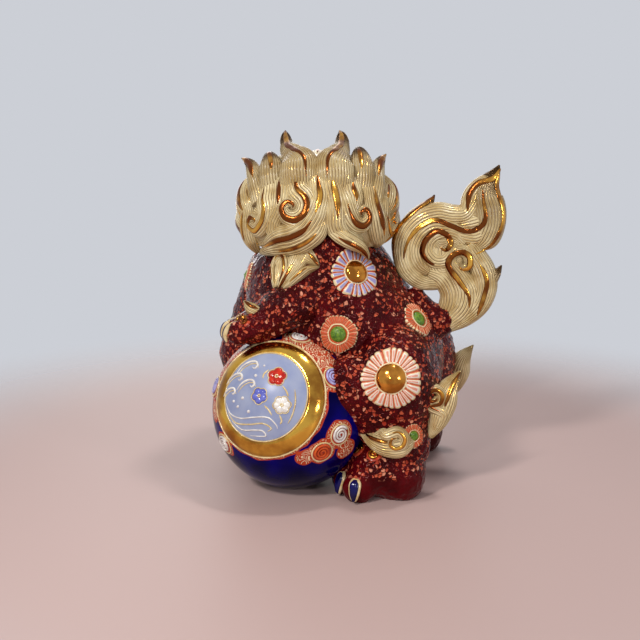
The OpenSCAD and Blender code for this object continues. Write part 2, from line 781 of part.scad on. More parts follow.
module left_side_curls() on_mane() {
  left_side_curls_form();
  left_nape_lock_form();
}
module right_side_curls() on_mane() {
  right_side_curls_form();
  right_nape_lock_form();
  left_nape_lock_form();
}
module left_crown_flame() on_mane() {
  left_crown_flame_form();
  left_nape_lock_form();
  left_side_curls_form();
}
module right_crown_flame() on_mane() {
  right_crown_flame_form();
  left_nape_lock_form();
  right_nape_lock_form();
  right_side_curls_form();
  left_crown_flame_form();
}
module left_temple_flames() on_mane() {
  left_temple_flames_form();
  left_nape_lock_form();
  left_side_curls_form();
  left_crown_flame_form();
}
module right_temple_flames() on_mane() {
  right_temple_flames_form();
  right_side_curls_form();
  right_crown_flame_form();
}
// A tuft that hangs from the hem and lies over the shoulder mass.
function on_shoulder(x, z, w, h) =
  let (y = -shoulder_size[1] * sqrt(max(0.05, 1 - pow((x - shoulder_at[0]) / shoulder_size[0], 2)
    - pow((z - shoulder_at[2]) / shoulder_size[2], 2))), p = [x, y, z])
    at(p, w, h, out(shoulder, p));
module shoulder_tuft() color(cream) casting() difference() {
  union() {
    lock([on_shoulder(-4, 204, 8, 9), on_shoulder(-14, 196, 11, 8), on_shoulder(-24, 184, 8, 6),
      on_shoulder(-29, 170, 0.8, 1)], 3);
    lock([on_shoulder(2, 203, 6, 8), on_shoulder(5, 194, 7, 6), on_shoulder(7, 184, 0.8, 1)], 3);
  }
  body_form();
  left_foreleg_form();
  head_frame() {
    mane_form();
    left_nape_lock_form();
    right_nape_lock_form();
  }
}
module forelock() color(cream) casting() head_frame() difference() {
  for (k = [-2 : 2]) let (x = skull_at[0] + 16 * k, dip = 3.5 * k * k) lock([
    at([x, 20, 274 - dip], 8, 7, [0.1 * k, 0.4, 0.9]),
    at([x, 34, 277 - dip], 9, 7, [0.1 * k, 0.4, 0.9]),
    at([x, 48, 275 - dip], 7, 6, [0.1 * k, 0.5, 0.8]),
    at([x, 58, 279 - dip], 0.8, 0.8, [0.1 * k, 0.6, 0.7])
  ], 2);
  head_form();
  mane_form();
}

// Tail: a flame plate in the plane of the body.
module root_form() hull() {
  lump([96, 0, 135], [16, 14, 20], 14);
  lump([110, 0, 140], [10, 10, 14], 14);
  lump([83, 0, 154], [12, 12, 13], 14);
}
module tail_root() color(maroon) casting() difference() {
  root_form();
  body_form();
}
// The two coils stand proud on both faces of the plate.
module tail_coils() for (f = [-1, 1]) {
  translate([104, 0, 204]) rotate([90, 0, 0]) translate([0, 0, f * tail_half * 0.86]) snail(15, 3, 1.5, 13);
  translate([124, 0, 189]) rotate([90, 0, 0]) translate([0, 0, f * tail_half * 0.9]) snail(11, 2.6, 1.4, 11);
}
module plume_form() {
  lock([
    flat(108, 130, 7, 6), flat(117, 142, 13, tail_half), flat(128, 156, 17, tail_half),
    flat(133, 172, 18, tail_half), flat(128, 190, 16, tail_half), flat(124, 208, 12, 8)
  ]);
  lock([
    flat(114, 171, 7, 6), flat(99, 172, 6, 6), flat(85, 178, 9, 8), flat(76, 190, 11, tail_half), flat(75, 206, 11.5, tail_half),
    flat(82, 220, 11.5, tail_half), flat(95, 227, 11, tail_half), flat(109, 228, 10.5, tail_half),
    flat(122, 224, 11, 8), flat(134, 219, 6, 5)
  ], 2);
  lock([flat(104, 138, 6, 6), flat(113, 150, 8, 8), flat(114, 163, 8, 8), flat(108, 175, 8, 8)], 2);
  lump([104, 0, 200], [31, tail_half * 0.9, 28], 16);
  tail_coils();
}
module tail_plume() color(cream) casting() difference() {
  plume_form();
  root_form();
  body_form();
}
module tongue_plume() lock([
  flat(141, 203, 11, 7), flat(141, 216, 16, tail_half), flat(139, 232, 18, tail_half),
  flat(138, 245, 16, 9), flat(141, 255, 11, 7), flat(148, 263, 6, 5), flat(152, 271, 0.8, 0.8)
]);
module tail_tongue() color(cream) casting() difference() {
  tongue_plume();
  plume_form();
}
module tail_barbs() color(cream) casting() difference() {
  union() {
    lock([flat(139, 162, 9, barb_half), flat(148, 174, 7, barb_half), flat(154, 181, 4, 4), flat(157, 187, 0.8, 0.8)], 3);
    lock([flat(86, 229, 6, barb_half), flat(93, 237, 4.5, 5), flat(99, 245, 0.8, 0.8)], 3);
  }
  plume_form();
  tongue_plume();
}
// Flame tufts behind the hocks, at the ankles and at the raised elbow.
tuft_face = [0.3, -0.95, 0];
module hock_tuft_form() {
  lock([
    at([102, -58, 52], 3, 3, tuft_face), at([108, -57, 65], 9, 7, tuft_face),
    at([112, -55, 80], 11, 8, tuft_face), at([117, -53, 93], 7.5, 6, tuft_face),
    at([126, -50, 105], 0.8, 0.8, tuft_face)
  ]);
  lump([105, -55, 88], [9, 8, 9], 12);
}
module ankle_tuft_form() lock([
  at([48, -73, 57], 2, 2, [-0.4, -1, 0.2]), at([57, -79, 53], 6, 5, [-0.2, -1, 0.2]),
  at([68, -82, 51], 9.5, 7, [0, -1, 0.1]), at([79, -80, 52], 11, 7, [0.2, -1, 0.1]), at([87, -75, 54], 6, 5, [0.3, -1, 0.1])
]);
module left_hock_tuft() color(cream) casting() difference() {
  hock_tuft_form();
  haunch_form();
  body_form();
  foot_form();
  seat_cut(left_spots()[4]);
}
module right_hock_tuft() color(cream) casting() difference() {
  other_side() hock_tuft_form();
  other_side() haunch_form();
  body_form();
  other_side() foot_form();
  other_side() seat_cut(left_spots()[4]);
}
module left_ankle_tuft() color(cream) casting() difference() {
  ankle_tuft_form();
  haunch_form();
  foot_form();
  ball_clear();
  ball_dressing_clear();
  knuckle_pads(instep, hind_knuckles, hind_knuckle_lat);
  seat_cut(left_spots()[4]);
}
module right_ankle_tuft() color(cream) casting() difference() {
  other_side() ankle_tuft_form();
  other_side() haunch_form();
  other_side() foot_form();
  other_side() knuckle_pads(instep, hind_knuckles, hind_knuckle_lat);
  other_side() seat_cut(left_spots()[4]);
}
module elbow_tuft() color(cream) casting() difference() {
  lock([at(left_paw[0] + [6, -9, 14], 4, 5, [0, -0.6, 0.8]), at(left_paw[0] + [-1, -10, 18], 5, 5, [0, -0.7, 0.7]),
    at(left_paw[0] + [-7, -9, 24], 0.8, 0.8, [-0.3, -0.7, 0.6])], 3);
  left_foreleg_form();
}

// Rosettes: scalloped domes of petals, each with a boss.
module petal_ring(r) {
  circle(r * 0.9, $fn = 48);
  for (k = [0 : petals - 1]) rotate(360 * k / petals) translate([r * 0.86, 0]) circle(r * 0.14, $fn = 16);
}
module rosette(r) {
  linear_extrude(petal_rim) petal_ring(r);
  rotate_extrude($fn = 64) polygon([[0, 0], [r * 0.76, 0], [r * 0.76, petal_rim], [r * 0.68, petal_height],
    [r * boss_share, petal_height - petal_dip], [0, petal_height - petal_dip]]);
}
// A boss is the cap of a sphere, its height a share of its radius.
function boss_sphere(r) = let (a = r * boss_share, h = a * boss_rise) (a * a + h * h) / (2 * h);
module boss(r) translate([0, 0, petal_height - petal_dip]) difference() {
  translate([0, 0, r * boss_share * boss_rise - boss_sphere(r)]) sphere(boss_sphere(r), $fn = 96);
  translate([0, 0, -2 * r]) cube(4 * r, center = true);
}
module left_rosettes() color(coral) for (s = left_spots()) at_seat(s[0], s[1], s[2], s[3]) rosette(s[3]);
module right_rosettes() color(coral) {
  for (i = [0 : 2]) let (s = left_spots()[i]) mirror([0, 1, 0]) at_seat(s[0], s[1], s[2], s[3]) rosette(s[3]);
  for (i = [3 : 4]) let (s = left_spots()[i]) other_side() at_seat(s[0], s[1], s[2], s[3]) rosette(s[3]);
}
module chest_medal() color(coral)
  at_seat(chest_spot[0], chest_spot[1], chest_spot[2], chest_spot[3]) rosette(chest_spot[3]);
module gold_bosses() color(gold) {
  let (s = left_spots()[0]) {
    at_seat(s[0], s[1], s[2], s[3]) boss(s[3]);
    mirror([0, 1, 0]) at_seat(s[0], s[1], s[2], s[3]) boss(s[3]);
  }
  let (s = left_spots()[3]) {
    at_seat(s[0], s[1], s[2], s[3]) boss(s[3]);
    other_side() at_seat(s[0], s[1], s[2], s[3]) boss(s[3]);
  }
}
module green_bosses() color(green) {
  for (i = [1 : 2]) let (s = left_spots()[i]) {
    at_seat(s[0], s[1], s[2], s[3]) boss(s[3]);
    mirror([0, 1, 0]) at_seat(s[0], s[1], s[2], s[3]) boss(s[3]);
  }
  let (s = left_spots()[4]) {
    at_seat(s[0], s[1], s[2], s[3]) boss(s[3]);
    other_side() at_seat(s[0], s[1], s[2], s[3]) boss(s[3]);
  }
  at_seat(chest_spot[0], chest_spot[1], chest_spot[2], chest_spot[3]) boss(chest_spot[3]);
}

translate(centre_shift) {
  ball();
  medallion_ring();
  medallion_panel();
  ball_studs();
  body();
  left_haunch();
  right_haunch();
  left_hind_foot();
  right_hind_foot();
  left_foreleg();
  right_foreleg();
  left_hind_claws();
  right_hind_claws();
  left_fore_claws();
  right_fore_claws();
  knuckle_snails();
  head();
  lower_jaw();
  tongue();
  upper_teeth();
  lower_teeth();
  nose();
  eyes();
  eyebrows();
  left_ear();
  right_ear();
  beard();
  mane_cap();
  left_crown_flame();
  right_crown_flame();
  left_temple_flames();
  right_temple_flames();
  left_side_curls();
  right_side_curls();
  left_nape_lock();
  right_nape_lock();
  shoulder_tuft();
  forelock();
  tail_root();
  tail_plume();
  tail_tongue();
  tail_barbs();
  left_hock_tuft();
  right_hock_tuft();
  left_ankle_tuft();
  right_ankle_tuft();
  elbow_tuft();
  left_rosettes();
  right_rosettes();
  chest_medal();
  gold_bosses();
  green_bosses();
}
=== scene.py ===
"""Glazed porcelain lion-dog with one paw on a brocade ball, dressed over its CAD frame.

Sizes are millimetres in the drawing's own frame: +Z up, the body faces -X, the ball stands at -Y
and the face is turned to +Y. Points move to the row frame and to metres as a mesh is made.
"""

from __future__ import annotations

import logging
import math
from dataclasses import dataclass, field, replace
from enum import Enum
from typing import Sequence

import bpy
import numpy as np
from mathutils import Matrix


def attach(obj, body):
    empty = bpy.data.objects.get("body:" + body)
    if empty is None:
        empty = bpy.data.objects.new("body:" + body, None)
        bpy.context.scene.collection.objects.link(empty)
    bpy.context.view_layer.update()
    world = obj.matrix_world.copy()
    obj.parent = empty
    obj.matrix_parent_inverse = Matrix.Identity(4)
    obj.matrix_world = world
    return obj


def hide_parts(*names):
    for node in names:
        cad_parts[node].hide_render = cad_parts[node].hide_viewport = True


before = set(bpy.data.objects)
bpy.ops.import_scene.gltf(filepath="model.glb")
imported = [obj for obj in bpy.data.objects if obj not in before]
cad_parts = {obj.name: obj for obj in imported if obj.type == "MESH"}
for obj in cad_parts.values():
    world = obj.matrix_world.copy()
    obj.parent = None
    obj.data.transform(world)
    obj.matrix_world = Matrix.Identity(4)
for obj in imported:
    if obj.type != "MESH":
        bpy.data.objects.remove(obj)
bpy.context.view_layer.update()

Array = np.ndarray
Colour = tuple[float, float, float, float]
Triple = tuple[float, float, float]
Stations = Sequence[Sequence[float]]
Socket = bpy.types.NodeSocket
LOG = logging.getLogger("lion_dog")
SHIFT = np.array([-26.92, 9.81, 0.0])
HEAD_TURN = math.radians(10.0)
RIGHT_LEG_BACK = 10.0
DETAIL = 1.0
MM = 0.001
PER_METRE = 1000.0
FLOOR_WALL = ((0, 0, -1), 0.0)
STROKE_LIFT = 0.8
STROKE_SIDES = 14


def count(n: float) -> int:
    """Grid count at the current level of detail."""
    return max(6, int(round(n * DETAIL)))


def length(v: Array) -> Array:
    """Lengths of vectors, kept as a column."""
    return np.linalg.norm(v, axis=-1, keepdims=True)


def unit(v: Array) -> Array:
    """Vectors scaled to length one."""
    v = np.asarray(v, float)
    return v / np.maximum(length(v), 1e-9)


def circle(n: int) -> Array:
    """Angles of n equal steps round a circle, from zero to the full turn."""
    return 2 * np.pi * np.arange(n + 1) / n


def heading(lon: float, lat: float) -> Array:
    """Direction at a longitude and latitude in degrees."""
    a, b = math.radians(lon), math.radians(lat)
    return np.array([math.cos(b) * math.cos(a), math.cos(b) * math.sin(a), math.sin(b)])


def upright(out: Array) -> tuple[Array, Array]:
    """Right and up directions of a place that faces out, as seen from outside."""
    right = unit(np.cross(np.array([0.0, 0.0, 1.0]), out))
    return right, np.cross(out, right)


def travel(run: Array) -> Array:
    """Distance gone along a run of points at each of them."""
    return np.concatenate([[0.0], np.cumsum(np.linalg.norm(np.diff(run, axis=0), axis=-1))])


def tone(red: int, green: int, blue: int) -> Colour:
    """A picture colour from 0 to 255 as linear light."""
    c = np.array([red, green, blue]) / 255.0
    return (*np.where(c <= 0.04045, c / 12.92, ((c + 0.055) / 1.055) ** 2.4).tolist(), 1.0)


def smooth_run(stations: Stations, steps: int) -> Array:
    """A Catmull-Rom curve through stations, each span cut into equal steps.

    Args:
        stations: Points of any number of columns.
        steps: Parts of each span.

    Returns:
        One row for each point of the run.
    """
    p = np.asarray(stations, float)
    last = len(p) - 1
    t = np.linspace(0.0, last, last * steps + 1)
    i = np.minimum(t.astype(int), last - 1)
    f = (t - i)[:, None]
    a, b, c, d = p[np.maximum(i - 1, 0)], p[i], p[i + 1], p[np.minimum(i + 2, last)]
    return 0.5 * (2 * b + (c - a) * f + (2 * a - 5 * b + 4 * c - d) * f**2 + (3 * b - a - 3 * c + d) * f**3)


def ripple(p: Array, size: float, seed: float) -> Array:
    """A soft lumpy field: the mean of seven plane sine waves in golden-angle directions.

    Args:
        p: Points.
        size: Usual width of a lump.
        seed: Changes the lumps.

    Returns:
        A number near -1 to 1 for each point.
    """
    k = np.arange(7)
    z = 1 - 2 * (k + 0.5) / 7
    a = k * 2.39996 + seed
    d = np.stack([np.sqrt(1 - z * z) * np.cos(a), np.sqrt(1 - z * z) * np.sin(a), z], -1)
    f = 2 * np.pi / size * (1 + 0.35 * np.sin(5 * k + seed))
    return np.sin(p @ (d * f[:, None]).T + 3.7 * k * (seed + 1)).sum(-1) / 3.0


@dataclass
class Patch:
    """A grid of points that becomes part of a mesh.

    Attributes:
        points: Rows by columns by 3.
        uv: Rows by columns (one more if ring) by 2.
        ring: The last column joins the first.
        first: Point that closes the first row.
        last: Point that closes the last row.
        marks: Numbers kept for each point as mesh attributes.
        finish: Place in the piece's list of finishes.
    """

    points: Array
    uv: Array
    ring: bool = True
    first: Array | None = None
    last: Array | None = None
    marks: dict[str, Array] = field(default_factory=dict)
    finish: int = 0

    def moved(self, turn: Array, step: Array) -> Patch:
        """The same patch under a matrix and a step.

        Args:
            turn: 3 by 3 matrix.
            step: Added after it.

        Returns:
            A new patch.
        """
        ends = [None if e is None else e @ turn.T + step for e in (self.first, self.last)]
        return replace(self, points=self.points @ turn.T + step, first=ends[0], last=ends[1])

    def turned(self) -> Patch:
        """The patch carried from the head's own frame to the drawing's."""
        c, s = math.cos(HEAD_TURN), math.sin(HEAD_TURN)
        return self.moved(np.array([[c, -s, 0], [s, c, 0], [0, 0, 1.0]]), np.zeros(3))

    def other_side(self, back: float = 0.0) -> Patch:
        """The patch mirrored to the dog's other side and set back along X."""
        return self.moved(np.diag([1.0, -1.0, 1.0]), np.array([back, 0, 0]))

    def across(self, middle: float) -> Patch:
        """The patch mirrored to the other half of the face, about x = middle."""
        return self.moved(np.diag([-1.0, 1.0, 1.0]), np.array([2 * middle, 0, 0]))

    def spread(self, key: str, n: int) -> Array:
        """A mark for n vertices: zero if the patch lacks it, and its last number at the closing points."""
        grid = self.marks.get(key, np.zeros(1)).ravel()
        return np.concatenate([grid, np.full(n - len(grid), grid[-1])])

    def faces(self, base: int) -> tuple[Array, Array, Array, Array, Array]:
        """Quads of the grid and fans of its ends, turned to face outwards by the sign of the volume.

        Args:
            base: Number of the patch's first vertex.

        Returns:
            Vertices, quads, quad UVs, triangles and triangle UVs.
        """
        r, c = self.points.shape[:2]
        g = base + np.arange(r * c).reshape(r, c)
        if self.ring:
            g = np.concatenate([g, g[:, :1]], 1)
        quads = np.stack([g[:-1, :-1], g[:-1, 1:], g[1:, 1:], g[1:, :-1]], -1).reshape(-1, 4)
        u = self.uv
        quv = np.stack([u[:-1, :-1], u[:-1, 1:], u[1:, 1:], u[1:, :-1]], -2).reshape(-1, 4, 2)
        verts, tris, tuv = [self.points.reshape(-1, 3)], [], []
        tip = base + r * c
        here, after = slice(0, -1), slice(1, None)
        for pole, row, a, b in ((self.first, 0, after, here), (self.last, -1, here, after)):
            if pole is not None:
                verts.append(np.reshape(pole, (1, 3)))
                tris.append(np.stack([np.full(g.shape[1] - 1, tip), g[row, a], g[row, b]], -1))
                tuv.append(np.stack([(u[row, a] + u[row, b]) / 2, u[row, a], u[row, b]], -2))
                tip += 1
        v = np.concatenate(verts)
        tri = np.concatenate(tris) if tris else np.zeros((0, 3), int)
        tri_uv = np.concatenate(tuv) if tuv else np.zeros((0, 3, 2))
        q = v[quads - base] - v.mean(0)
        volume = (q[:, 0] * (np.cross(q[:, 1], q[:, 2]) + np.cross(q[:, 2], q[:, 3]))).sum()
        if volume < 0:
            return v, quads[:, ::-1], quv[:, ::-1], tri[:, ::-1], tri_uv[:, ::-1]
        return v, quads, quv, tri, tri_uv


def closed(
    points: Array, u: Array, v: Array, finish: int = 0, marks: dict[str, Array] | None = None
) -> Patch:
    """A ring patch whose end rows close on their own middles.

    Args:
        points: Rows by columns by 3.
        u: First part of the UV, for each column and one more.
        v: Second part of the UV, for each row.
        finish: Place in the piece's list of finishes.
        marks: Numbers kept for each point.

    Returns:
        The patch.
    """
    uv = np.stack(np.broadcast_arrays(u[None], v[:, None]), -1)
    return Patch(points, uv, True, points[0].mean(0), points[-1].mean(0), marks or {}, finish)


def ovoid_distance(offset: Array, half: Array) -> Array:
    """Distance of points from an ellipsoid's skin, below zero inside: k0 (k0 - 1) / k1.

    Args:
        offset: Points less the ellipsoid's centre.
        half: Its half sizes.

    Returns:
        One number for each point.
    """
    q = offset / half
    k0 = np.linalg.norm(q, axis=-1)
    k1 = np.linalg.norm(q / half, axis=-1)
    return k0 * (k0 - 1) / np.maximum(k1, 1e-6)


@dataclass(frozen=True)
class Mass:
    """An ovoid of clay: a centre and three half sizes."""

    at: Triple
    half: Triple

    def distance(self, p: Array) -> Array:
        """Distance of points from the skin, below zero inside."""
        return ovoid_distance(p - np.array(self.at), np.array(self.half))

    def project(self, p: Array) -> Array:
        """Points moved along rays from the centre to the skin."""
        v = p - np.array(self.at)
        return np.array(self.at) + v / np.maximum(length(v / np.array(self.half)), 1e-6)

    def normal(self, p: Array) -> Array:
        """Outward direction of the skin at points on it."""
        return unit((p - np.array(self.at)) / np.array(self.half) ** 2)

    def spot(self, lon: float, lat: float) -> Array:
        """Point of the skin at a longitude and latitude in degrees."""
        return np.array(self.at) + np.array(self.half) * heading(lon, lat)

    def shrunk(self, by: float) -> Mass:
        """The same ovoid with each half size less."""
        return Mass(self.at, tuple(h - by for h in self.half))

    def mirrored(self, axis: int, about: float = 0.0) -> Mass:
        """The ovoid mirrored along one axis about a place on it."""
        return Mass(tuple(2 * about - c if k == axis else c for k, c in enumerate(self.at)), self.half)

    def behind(self, x: float, z: float) -> Array:
        """Point of the -Y side of the skin over a place seen from behind."""
        share = 1 - ((x - self.at[0]) / self.half[0]) ** 2 - ((z - self.at[2]) / self.half[2]) ** 2
        return np.array([x, self.at[1] - self.half[1] * math.sqrt(max(share, 0.02)), z])


@dataclass(frozen=True)
class Link:
    """A limb between two ovoids: at each share of the way their centre and half sizes are mixed."""

    one: Mass
    two: Mass

    def mirrored(self, axis: int, about: float = 0.0) -> Link:
        """The limb mirrored along one axis about a place on it."""
        return Link(self.one.mirrored(axis, about), self.two.mirrored(axis, about))

    def distance(self, p: Array) -> Array:
        """Distance from the ovoid mixed at the nearest share of the line of centres.

        Args:
            p: Points.

        Returns:
            One number for each point, below zero inside.
        """
        a, b = np.array(self.one.at), np.array(self.two.at)
        t = np.clip(((p - a) @ (b - a)) / ((b - a) @ (b - a)), 0, 1)[..., None]
        half = np.array(self.one.half) * (1 - t) + np.array(self.two.half) * t
        return ovoid_distance(p - a - (b - a) * t, half)


@dataclass(frozen=True)
class Form:
    """Clay masses run together with a soft fillet, less any cuts.

    Attributes:
        masses: What is joined.
        fillet: Width over which two masses run together.
        cuts: What is taken away.
        walls: Planes that bound the form, each an outward normal and an offset.
    """

    masses: tuple[Mass | Link, ...]
    fillet: float = 6.0
    cuts: tuple[Mass | Link, ...] = ()
    walls: tuple[tuple[Triple, float], ...] = ()

    def distance(self, p: Array) -> Array:
        """Smooth least of the masses' distances, limited by the cuts and the walls.

        Args:
            p: Points.

        Returns:
            One number for each point, below zero inside.
        """
        d = self.masses[0].distance(p)
        for m in self.masses[1:]:
            e = m.distance(p)
            h = np.maximum(self.fillet - np.abs(d - e), 0) / self.fillet
            d = np.minimum(d, e) - h * h * self.fillet / 4
        for c in self.cuts:
            d = np.maximum(d, -c.distance(p))
        for normal, offset in self.walls:
            d = np.maximum(d, p @ np.array(normal) - offset)
        return d

    def shell(
        self, path: Stations, rows: int, cols: int, axis: Sequence[float] = (0, 0, 1), lump: float = 0.0,
        seed: float = 1.0
    ) -> Patch:
        """Skin of the form as a grid of rays that leave a spine and stop where they leave the form.

        Along the spine the rays stand square to it, and at its two ends they fan over half a ball.
        Each ray steps by the distance to the skin until it lies on it.

        Args:
            path: Points of the spine, or one point.
            rows: Rings at full detail.
            cols: Rays of each ring at full detail.
            axis: Direction of the poles where the spine is one point.
            lump: Height of hand-pressed unevenness.
            seed: Changes the unevenness.

        Returns:
            A closed patch.
        """
        spine = np.asarray(path, float).reshape(-1, 3)
        rows, cols = count(rows), count(cols)
        caps = rows // 2 if len(spine) == 1 else max(rows // 4, 5)
        tilt = np.radians(90.0) * (np.arange(caps) + 0.5) / caps
        if len(spine) == 1:
            start = end = unit(np.array(axis, float))
            origins = np.repeat(spine, 2 * caps, 0)
            lean = np.concatenate([-np.cos(tilt), np.cos(tilt[::-1])])
            tangents = np.repeat(start[None], 2 * caps, 0)
        else:
            run = smooth_run(spine, max(2, (rows - 2 * caps) // (len(spine) - 1)))
            way = unit(np.gradient(run, axis=0))
            start, end = way[0], way[-1]
            origins = np.concatenate([np.repeat(run[:1], caps, 0), run, np.repeat(run[-1:], caps, 0)])
            lean = np.concatenate([-np.cos(tilt), np.zeros(len(run)), np.cos(tilt[::-1])])
            tangents = np.concatenate([np.repeat(start[None], caps, 0), way, np.repeat(end[None], caps, 0)])
        guide = np.array([0.0, 1.0, 0.05]) if abs(start[1]) < 0.8 else np.array([1.0, 0.0, 0.05])
        b = unit(np.cross(guide, tangents))
        n = np.cross(tangents, b)
        a = circle(cols)[:-1]
        radial = np.cos(a)[None, :, None] * b[:, None] + np.sin(a)[None, :, None] * n[:, None]
        d = lean[:, None, None] * tangents[:, None] + np.sqrt(1 - lean**2)[:, None, None] * radial
        points = self.leave(origins[:, None], d)
        if lump:
            points = points + d * (lump * ripple(points, 9.0, seed))[..., None]
        u, v = np.meshgrid(np.linspace(0, 1, cols + 1), np.linspace(0, 1, len(d)))
        return Patch(
            points, np.stack([u, v], -1), True, self.leave(origins[0], -start), self.leave(origins[-1], end))

    def leave(self, start: Array, way: Array, steps: int = 40) -> Array:
        """Points where rays from inside leave the form.

        Args:
            start: Where the rays begin.
            way: Their directions, of length one.
            steps: Steps of each ray.

        Returns:
            The points.
        """
        t = np.zeros(np.broadcast(start, way).shape[:-1])
        for _ in range(steps):
            t = np.maximum(t - 0.9 * self.distance(start + way * t[..., None]), 0)
        return start + way * t[..., None]

    def land(self, p: Array, way: Array, reach: float = 25.0, steps: int = 40) -> Array:
        """Points brought down onto the skin.

        Args:
            p: Points near the skin.
            way: Outward direction.
            reach: How far outside the fall begins.
            steps: Steps of the fall.

        Returns:
            The points on the skin.
        """
        t = np.full(p.shape[:-1], reach)
        for _ in range(steps):
            t = t - 0.9 * self.distance(p + way * t[..., None])
        return p + way * np.clip(t, -reach, reach)[..., None]


class Nodes:
    """A tree of shader nodes, with short calls to add to it."""

    smooth = {"interpolation_type": "SMOOTHSTEP"}

    def __init__(self, tree: bpy.types.NodeTree) -> None:
        """Starts with an empty tree."""
        self.nodes, self.links = tree.nodes, tree.links
        self.nodes.clear()

    def feed(self, socket: Socket, value: object) -> None:
        """Links a socket, or sets its number or colour.

        Args:
            socket: An input.
            value: A socket to link, or what to set.
        """
        if isinstance(value, Socket):
            self.links.new(value, socket)
        else:
            socket.default_value = value

    def add(
        self,
        kind: str,
        settings: dict[str, object] | None = None,
        places: dict[int, object] | None = None,
        **inputs: object,
    ) -> bpy.types.Node:
        """Adds a node.

        Args:
            kind: The node's type after ShaderNode.
            settings: Its properties.
            places: Its sockets by number.
            **inputs: Its sockets by name, with _ for a space.

        Returns:
            The node.
        """
        node = self.nodes.new("ShaderNode" + kind)
        for key, value in (settings or {}).items():
            setattr(node, key, value)
        for key, value in (places or {}).items():
            self.feed(node.inputs[key], value)
        for key, value in inputs.items():
            self.feed(node.inputs[key.replace("_", " ")], value)
        return node

    def math(self, operation: str, *values: object) -> Socket:
        """A Math node's result."""
        return self.add("Math", {"operation": operation}, dict(enumerate(values))).outputs[0]

    def ramp(self, value: object, low: float, high: float, start: float = 0.0, end: float = 1.0) -> Socket:
        """A smooth step of a value between two limits."""
        limits = {"From_Min": low, "From_Max": high, "To_Min": start, "To_Max": end}
        return self.add("MapRange", self.smooth, Value=value, **limits).outputs["Result"]

    def blend(self, share: object, a: object, b: object) -> Socket:
        """A mix of two colours."""
        return self.add("Mix", {"data_type": "RGBA"}, {0: share, 6: a, 7: b}).outputs[2]


class Shade(Nodes):
    """One material's nodes round a principled shader."""

    def __init__(self, name: str) -> None:
        """Starts a material with its shader, object places and UV map.

        Args:
            name: The material's name.
        """
        self.material = bpy.data.materials.new(name)
        self.material.use_nodes = True
        super().__init__(self.material.node_tree)
        self.glaze = self.add("BsdfPrincipled")
        self.add("OutputMaterial", Surface=self.glaze.outputs["BSDF"])
        coords = self.add("TexCoord").outputs
        self.place, self.uv = coords["Object"], coords["UV"]

    def noise(self, size: float, detail: float = 2.0) -> Socket:
        """Noise whose lumps are about size millimetres wide."""
        return self.add("TexNoise", Vector=self.place, Scale=PER_METRE / size, Detail=detail).outputs["Fac"]

    def mark(self, name: str) -> Socket:
        """A number kept on the mesh."""
        return self.add("Attribute", {"attribute_name": name}).outputs["Fac"]

    def split_uv(self) -> tuple[Socket, Socket]:
        """The two parts of the UV map."""
        node = self.add("SeparateXYZ", Vector=self.uv)
        return node.outputs["X"], node.outputs["Y"]

    def bump(self, height: object, depth: float) -> None:
        """Relief of a depth in millimetres."""
        node = self.add("Bump", Strength=1.0, Distance=depth / PER_METRE, Height=height)
        self.dress(Normal=node.outputs["Normal"])

    def dress(self, **inputs: object) -> None:
        """Sets or links sockets of the shader."""
        for key, value in inputs.items():
            self.feed(self.glaze.inputs[key.replace("_", " ")], value)


@dataclass(frozen=True)
class Finish:
    """A glaze or lustre, mixed once and shared by the pieces that wear it.

    Attributes:
        name: The material's name.
        slot: The record's material slot.
    """

    name: str
    slot: str

    def material(self) -> bpy.types.Material:
        """The finish's material, made at its first use.

        Returns:
            The material.
        """
        found = bpy.data.materials.get(self.name)
        if found is None:
            shade = Shade(self.name)
            self.mix(shade)
            found = shade.material
        return found

    def mix(self, shade: Shade) -> None:
        """Fills the node tree."""
        raise NotImplementedError


